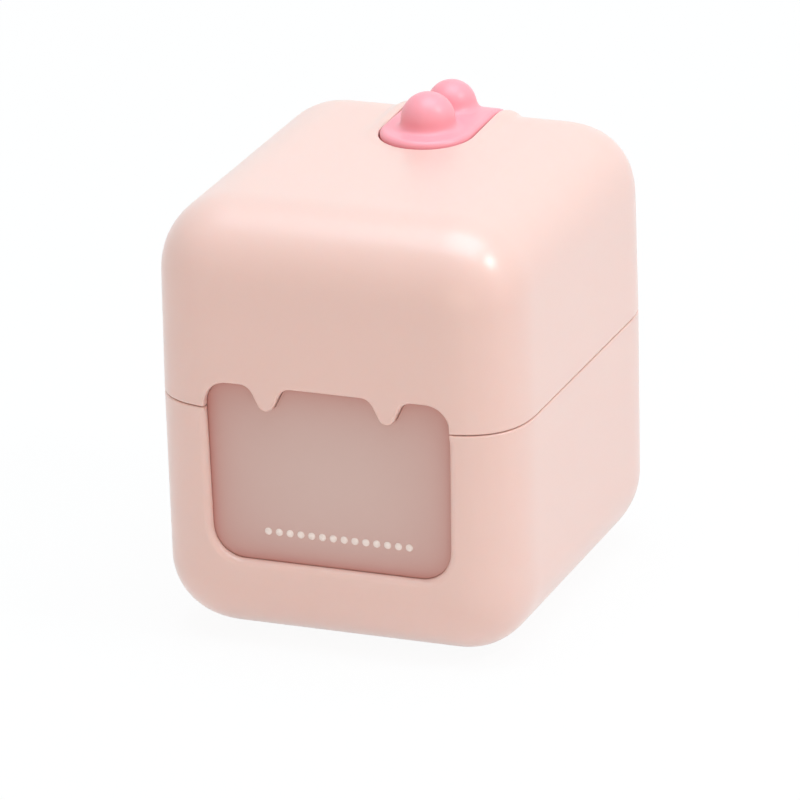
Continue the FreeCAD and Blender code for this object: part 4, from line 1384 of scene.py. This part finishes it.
class Pattern:
    """Tree of geometry nodes under construction, with named inputs for its sizes."""

    sharp = 35.0

    def __init__(self, name: str) -> None:
        """Start a tree that takes and gives geometry."""
        self.tree = bpy.data.node_groups.new(name, "GeometryNodeTree")
        self.tree.interface.new_socket("Places", in_out="INPUT", socket_type="NodeSocketGeometry")
        self.tree.interface.new_socket("Made", in_out="OUTPUT", socket_type="NodeSocketGeometry")
        self.start = self.tree.nodes.new("NodeGroupInput")
        self.end = self.tree.nodes.new("NodeGroupOutput")
        self.values: dict[str, float] = {}

    def size(self, name: str, value: float) -> Socket:
        """Add a named size in metres, or a plain number, and return its socket."""
        item = self.tree.interface.new_socket(name, in_out="INPUT", socket_type="NodeSocketFloat")
        self.values[item.identifier] = value
        return self.start.outputs[name]

    def lengths(self, given: dict[str, float]) -> list[Socket]:
        """Add named lengths in millimetres and return their sockets."""
        return [self.size(name, value * MM) for name, value in given.items()]

    def node(self, kind: str, given: dict[str | int, object], **options: object) -> Socket:
        """Add a geometry node, named without its prefix, and return its first output."""
        return add_node(self.tree, "GeometryNode" + kind, given, **options).outputs[0]

    def reckoned(self, operation: str, first: object, second: object) -> Socket:
        """Reckon with two numbers or sockets."""
        return add_node(self.tree, "ShaderNodeMath", {0: first, 1: second}, operation=operation).outputs[0]

    def changed(self, shape: Socket, **given: Socket) -> Socket:
        """Move or scale a shape."""
        return self.node("Transform", {"Geometry": shape, **given})

    def vector(self, x: object = 0.0, y: object = 0.0, z: object = 0.0) -> Socket:
        """Join three numbers or sockets to a vector."""
        return add_node(self.tree, "ShaderNodeCombineXYZ", {"X": x, "Y": y, "Z": z}).outputs[0]

    def copies(self, shape: Socket) -> Socket:
        """Set a shape on every given place, turned by the place's own turn."""
        turn = self.node("InputNamedAttribute", {"Name": "turn"}, data_type="FLOAT_VECTOR")
        points = self.start.outputs["Places"]
        return self.node("InstanceOnPoints", {"Points": points, "Instance": shape, "Rotation": turn})

    def make(self, name: str, geometry: Socket, finish: Finish,
             places: Sequence[tuple[Sequence[float], Sequence[float]]]) -> Object:
        """Run the tree and keep the result as a plain mesh.

        Args:
            name: the piece's name.
            geometry: what the tree gives.
            finish: the finish of every copy.
            places: place in the cube's frame and turn of each copy.

        Returns:
            The piece.
        """
        real = self.node("RealizeInstances", {"Geometry": geometry})
        painted = self.node("SetMaterial", {"Geometry": real, "Material": finish.make()})
        self.tree.links.new(painted, self.end.inputs[0])
        mesh = bpy.data.meshes.new(name)
        mesh.from_pydata([tuple(p) for p in to_row(np.array([place for place, _ in places]))], [], [])
        turns = mesh.attributes.new("turn", "FLOAT_VECTOR", "POINT")
        turns.data.foreach_set("vector", np.array([turn for _, turn in places], float).ravel())
        piece = linked(name, mesh)
        modifier = piece.modifiers.new("pattern", "NODES")
        modifier.node_group = self.tree
        for identifier, value in self.values.items():
            modifier[identifier] = value
        found = applied(piece, modifier)
        found.name = name
        found.shade_smooth()
        found.set_sharp_from_angle(angle=math.radians(self.sharp))
        return piece


@dataclass
class Screws:
    """Countersunk steel screws with a cross recess."""

    radius: float = 1.3
    head_radius: float = 2.6
    head_height: float = 1.3
    recess_width: float = 0.55
    recess_length: float = 2.9
    recess_depth: float = 0.8
    head_sides: int = 28
    shank_sides: int = 20
    first_turn: float = 0.7
    next_turn: float = 1.9

    def build(self, name: str, length: float, places: Sequence[Sequence[float]], up: bool) -> Object:
        """Make one group of screws.

        Args:
            name: the group's name.
            length: length of each screw under its face.
            places: x, y and z of each head's middle.
            up: whether they are driven upwards.

        Returns:
            The piece.
        """
        pattern = Pattern("countersunk_screws")
        radius, head_radius, height, full, width, across, depth = pattern.lengths({
            "Shank radius": self.radius, "Head radius": self.head_radius, "Head height": self.head_height,
            "Length": length, "Recess width": self.recess_width, "Recess length": self.recess_length,
            "Recess depth": self.recess_depth * 2})
        head = pattern.node("MeshCone", {"Vertices": self.head_sides, "Radius Top": head_radius,
                                         "Radius Bottom": radius, "Depth": height})
        head = pattern.changed(head, Translation=pattern.vector(z=pattern.reckoned("MULTIPLY", height, -1.0)))
        cuts = [pattern.node("MeshCube", {"Size": pattern.vector(*size)})
                for size in ((across, width, depth), (width, across, depth))]
        head = pattern.node("MeshBoolean", {"Mesh 1": head, "Mesh 2": cuts}, operation="DIFFERENCE",
                            solver="EXACT")
        shank = pattern.node("MeshCylinder", {"Vertices": self.shank_sides, "Radius": radius,
                                              "Depth": pattern.reckoned("SUBTRACT", full, height)})
        middle = pattern.reckoned("MULTIPLY", pattern.reckoned("ADD", full, height), -0.5)
        shank = pattern.changed(shank, Translation=pattern.vector(z=middle))
        made = pattern.copies(pattern.node("JoinGeometry", {"Geometry": [head, shank]}))
        tip = math.pi if up else 0.0
        rows = [(place, (tip, 0.0, self.first_turn + self.next_turn * k)) for k, place in enumerate(places)]
        return pattern.make(name, made, STEEL, rows)


@dataclass
class Springs:
    """Coil springs under the press strip."""

    x: float = 9.5
    y: float = 21.0
    low: float = 105.45
    high: float = 111.05
    radius: float = 1.95
    wire: float = 0.25
    turns: float = 3.0
    turn_steps: int = 24
    wire_sides: int = 8

    def build(self) -> Object:
        """Make both springs."""
        pattern = Pattern("coil_springs")
        radius, wire, height = pattern.lengths({
            "Coil radius": self.radius, "Wire radius": self.wire, "Height": self.high - self.low})
        turns = pattern.size("Turns", self.turns)
        coil = pattern.node("CurveSpiral", {"Resolution": self.turn_steps, "Rotations": turns,
                                            "Start Radius": radius, "End Radius": radius, "Height": height})
        ring = pattern.node("CurvePrimitiveCircle", {"Resolution": self.wire_sides, "Radius": wire})
        tube = pattern.node("CurveToMesh", {"Curve": coil, "Profile Curve": ring, "Fill Caps": True})
        made = pattern.copies(tube)
        return pattern.make("button_spring_pair", made, SPRING_STEEL,
                            [((x, self.y, self.low), (0, 0, 0)) for x in (-self.x, self.x)])


@dataclass
class Feet:
    """Rubber feet in their pockets, each with a shallow ring groove."""

    x: float = 25.0
    y: float = 31.0
    radius: float = 5.0
    proud: float = 0.8
    recess: float = 0.7
    sides: int = 40
    groove: Shade = (0.56, 0.60, 0.68, 0.72)
    groove_depth: float = 0.25
    edge: float = 0.35
    edge_middle: float = 0.10

    def build(self) -> Object:
        """Make all four feet."""
        low, groove = -self.proud, -self.proud + self.groove_depth
        profile = [(0.0, low), *((self.radius * share, level) for share, level in zip(
            self.groove, (low, groove, groove, low))), (self.radius - self.edge, low),
            (self.radius - self.edge_middle, low + self.edge_middle), (self.radius, low + self.edge),
            (self.radius, self.recess), (0.0, self.recess)]
        pattern = Pattern("rubber_feet")
        count = self.sides
        points, faces = [(0.0, 0.0, profile[0][1])], []
        for radius, level in profile[1:-1]:
            points += [(radius * math.cos(a), radius * math.sin(a), level)
                       for a in np.linspace(0, 2 * math.pi, count + 1)[:-1]]
        points.append((0.0, 0.0, profile[-1][1]))
        rings = len(profile) - 3
        for k in range(count):
            n = (k + 1) % count
            faces.append((0, 1 + n, 1 + k))
            for first in range(1, 1 + rings * count, count):
                faces.append((first + k, first + n, first + count + n, first + count + k))
            last = 1 + rings * count
            faces.append((last + k, last + n, len(points) - 1))
        shape = bpy.data.meshes.new("foot_shape")
        shape.from_pydata([tuple(v * MM for v in p) for p in points], [], faces)
        source = bpy.data.objects.new("foot_shape", shape)
        given = add_node(pattern.tree, "GeometryNodeObjectInfo", {"Object": source}).outputs["Geometry"]
        places = [((x, y, 0.0), (0, 0, 0)) for x, y in product((-self.x, self.x), (-self.y, self.y))]
        piece = pattern.make("rubber_feet", pattern.copies(given), RUBBER, places)
        bpy.data.objects.remove(source)
        return piece


@dataclass
class DotRow:
    """Row of small raised dots on the drawer's front panel."""

    first: Triple = (-17.6, -53.9, 31.5)
    count: int = 14
    pitch: float = 2.98
    radius: float = 1.0
    height: float = 0.45
    segments: int = 20
    rings: int = 10

    def build(self) -> Object:
        """Make the row."""
        pattern = Pattern("raised_dots")
        radius, pitch = pattern.lengths({"Dot radius": self.radius, "Pitch": self.pitch})
        flat = pattern.size("Flatness", self.height / self.radius)
        line = pattern.node("MeshLine", {"Count": self.count, "Offset": pattern.vector(x=pitch)})
        ball = pattern.node("MeshUVSphere", {"Segments": self.segments, "Rings": self.rings,
                                             "Radius": radius})
        dot = pattern.changed(ball, Scale=pattern.vector(1.0, flat, 1.0))
        made = pattern.copies(pattern.node("InstanceOnPoints", {"Points": line, "Instance": dot}))
        return pattern.make("panel_dots", made, PALE_PRINT, [(self.first, (0, 0, 0))])


@dataclass
class Softened:
    """Moulded part inside the box: the frame's solid with its sharp edges softened."""

    bevel: float = 0.3
    sharp: float = 38.0
    weld: float = 0.002
    flat: float = 0.6
    segments: int = 2

    def build(self, node: str, name: str) -> Object:
        """Make a softened copy of one of the frame's nodes.

        Args:
            node: the node's name.
            name: the new piece's name.

        Returns:
            The piece.
        """
        mesh = bpy.data.meshes.new(name)
        work = bmesh.new()
        work.from_mesh(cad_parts[node].data)
        bmesh.ops.remove_doubles(work, verts=work.verts, dist=self.weld * MM)
        bmesh.ops.dissolve_limit(work, angle_limit=math.radians(self.flat), verts=work.verts,
                                 edges=work.edges)
        work.to_mesh(mesh)
        work.free()
        mesh.shade_smooth()
        piece = linked(name, mesh)
        bevel = piece.modifiers.new("softened", "BEVEL")
        bevel.width = self.bevel * MM
        bevel.segments = self.segments
        bevel.limit_method = "ANGLE"
        bevel.angle_limit = math.radians(self.sharp)
        bevel.harden_normals = True
        applied(piece, bevel)
        return piece


# ---- surroundings --------------------------------------------------------------------------------


@dataclass(frozen=True)
class Lamp:
    """Soft lamp: where it stands and what it faces in metres, its side, its power and its colour."""

    name: str
    place: Triple
    size: float
    power: float
    colour: Triple = (1.0, 1.0, 1.0)
    target: Triple = (0.0, 0.0, 0.06)


LAMPS = (
    Lamp("key", (0.1, 0.0, 2.0), 1.5, 28.5, (0.66, 0.88, 1.0)),
    Lamp("side", (1.7, -0.1, 0.45), 1.2, 1.2, (0.88, 0.95, 1.0)),
    Lamp("low", (0.1, -0.5, 0.03), 0.3, 0.3, (1.0, 0.80, 0.55), (0.0, -0.05, 0.0)),
    Lamp("glint", (0.871, -0.047, 0.978), 0.3, 4.6, (0.92, 0.97, 1.0), (0.0419, -0.0498, 0.1104)),
)


@dataclass
class Studio:
    """Plain pale floor, soft light and the camera."""

    azimuth: float = 21.66
    elevation: float = 20.89
    roll: float = -1.64
    distance: float = 1908.0
    across: float = 1.336
    up: float = 8.01
    focal: float = 7310.0
    picture: float = 800.0
    middle_z: float = 58.35
    sensor: float = 36.0
    clip: Pair = (0.05, 60.0)
    floor_reach: float = 20.0
    floor_colour: Shade = (0.86, 0.85, 0.84, 1)
    floor_glow: float = 0.94
    world_colour: Shade = (1.0, 0.985, 0.96, 1)
    world_strength: float = 0.55

    def camera(self) -> None:
        """Make the scene's camera."""
        a, e, roll = (math.radians(v) for v in (self.azimuth, self.elevation, self.roll))
        back = np.array([math.sin(a) * math.cos(e), -math.cos(a) * math.cos(e), math.sin(e)])
        level = np.array([math.cos(a), math.sin(a), 0.0])
        rise = np.cross(back, level)
        right = level * math.cos(roll) + rise * math.sin(roll)
        upward = -level * math.sin(roll) + rise * math.cos(roll)
        place = (np.array([0, 0, self.middle_z]) + self.distance * back - self.across * right
                 - self.up * upward)
        data = bpy.data.cameras.new("view")
        data.sensor_width = self.sensor
        data.lens = self.sensor * self.focal / self.picture
        data.clip_start, data.clip_end = self.clip
        made = linked("view", data)
        turn = Matrix((right, upward, back)).transposed()
        made.matrix_world = Matrix.Translation(Vector(to_row(place))) @ turn.to_4x4()
        bpy.context.scene.camera = made

    def floor(self) -> None:
        """Make the floor, white to the eye, with the object's faint shadow on it."""
        mesh = bpy.data.meshes.new("floor")
        far = self.floor_reach
        mesh.from_pydata([(-far, -far, 0), (far, -far, 0), (far, far, 0), (-far, far, 0)], [], [(0, 1, 2, 3)])
        made = linked("floor", mesh)
        material = bpy.data.materials.new("pale_floor")
        material.use_nodes = True
        tree = material.node_tree
        tree.nodes.remove(tree.nodes["Principled BSDF"])
        matt = add_node(tree, "ShaderNodeBsdfDiffuse", {"Color": self.floor_colour})
        glow = add_node(tree, "ShaderNodeEmission", {"Strength": 1.0})
        share = add_node(tree, "ShaderNodeMath", {0: self._seen(tree), 1: self.floor_glow},
                         operation="MULTIPLY")
        given = {"Fac": share.outputs[0], 1: matt.outputs[0], 2: glow.outputs[0]}
        mix = add_node(tree, "ShaderNodeMixShader", given)
        feed(tree, tree.nodes["Material Output"], {"Surface": mix.outputs[0]})
        mesh.materials.append(material)

    @staticmethod
    def _seen(tree: Tree) -> Socket:
        """One for rays that come from the eye, a mirror or glass, and zero for light."""
        kinds = tree.nodes.new("ShaderNodeLightPath").outputs
        found = kinds["Is Camera Ray"]
        for kind in ("Is Glossy Ray", "Is Transmission Ray"):
            both = add_node(tree, "ShaderNodeMath", {0: found, 1: kinds[kind]}, operation="MAXIMUM")
            found = both.outputs[0]
        return found

    def world(self) -> None:
        """Light from all round, white where it is seen."""
        world = bpy.data.worlds.new("studio")
        bpy.context.scene.world = world
        world.use_nodes = True
        tree = world.node_tree
        given = {"Value": self._seen(tree), "To Min": self.world_strength, "To Max": 1.0}
        level = add_node(tree, "ShaderNodeMapRange", given)
        given = {"Color": self.world_colour, "Strength": level.outputs["Result"]}
        feed(tree, tree.nodes["Background"], given)

    @staticmethod
    def lamp(lamp: Lamp) -> None:
        """Make one square soft lamp that faces its target."""
        data = bpy.data.lights.new(lamp.name, "AREA")
        data.shape = "SQUARE"
        data.size, data.energy, data.color = lamp.size, lamp.power, lamp.colour
        made = linked(lamp.name, data)
        made.location = lamp.place
        made.rotation_euler = (Vector(lamp.place) - Vector(lamp.target)).to_track_quat("Z", "Y").to_euler()

    def build(self) -> None:
        """Set up floor, light and camera."""
        self.floor()
        self.world()
        for lamp in LAMPS:
            self.lamp(lamp)
        self.camera()
        bpy.context.scene.view_settings.view_transform = "Standard"


MOULDINGS = (
    ("drawer_bay", "drawer_bay_softened", BLUSH, "base", 0.3),
    ("swab_tray", "swab_tray_softened", WHITE, "base", 0.4),
    ("drawer_bin", "drawer_bin_softened", CLEAR_WHITE, "drawer", 0.4),
    ("latch_cover", "latch_cover_softened", BLUSH, "lid", 0.3),
    ("latch_slider", "latch_slider_softened", ACETAL, "latch", 0.2),
    ("button_plunger", "button_plunger_softened", WHITE, "button", 0.2),
    ("hinge_pin", "hinge_pin_softened", STEEL, "base", 0.15),
)
SCREW_GROUPS = (
    ("bay_screws", "bay_screw_set", "base", 8.0, 23.35, False, ((-23.65, 23.65), (-30.0, 30.0))),
    ("tray_screws", "tray_screw_set", "base", 8.0, 66.6, False, ((-40.0, 40.0), (-44.0, 44.0))),
    ("cover_screws", "cover_screw_set", "lid", 8.0, 103.6, True, ((-19.5, 19.5), (-36.1, 31.0))),
    ("plunger_screws", "plunger_screw_pair", "button", 5.0, 111.3, True, ((0.0,), (12.8, 30.2))),
)
FEET_NODES = ("foot_front_left", "foot_front_right", "foot_rear_left", "foot_rear_right")


def main() -> None:
    """Build every sub-assembly in turn, then the studio."""
    logging.basicConfig(level=logging.INFO, format="%(message)s")
    Lid().build()
    Base().build()
    PressStrip().build()
    DrawerFront().build()
    dressed(DotRow().build(), PALE_PRINT, "drawer")
    for node, name, finish, body, bevel in MOULDINGS:
        dressed(Softened(bevel).build(node, name), finish, body, [node])
    for node, name, body, length, level, up, (xs, ys) in SCREW_GROUPS:
        places = [(x, y, level) for x in xs for y in ys]
        dressed(Screws().build(name, length, places, up), STEEL, body, [node])
    springs = dressed(Springs().build(), SPRING_STEEL, "lid", ["button_springs"])
    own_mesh(springs)
    dressed(Feet().build(), RUBBER, "base", FEET_NODES)
    Studio().build()


if __name__ == "__main__":
    main()
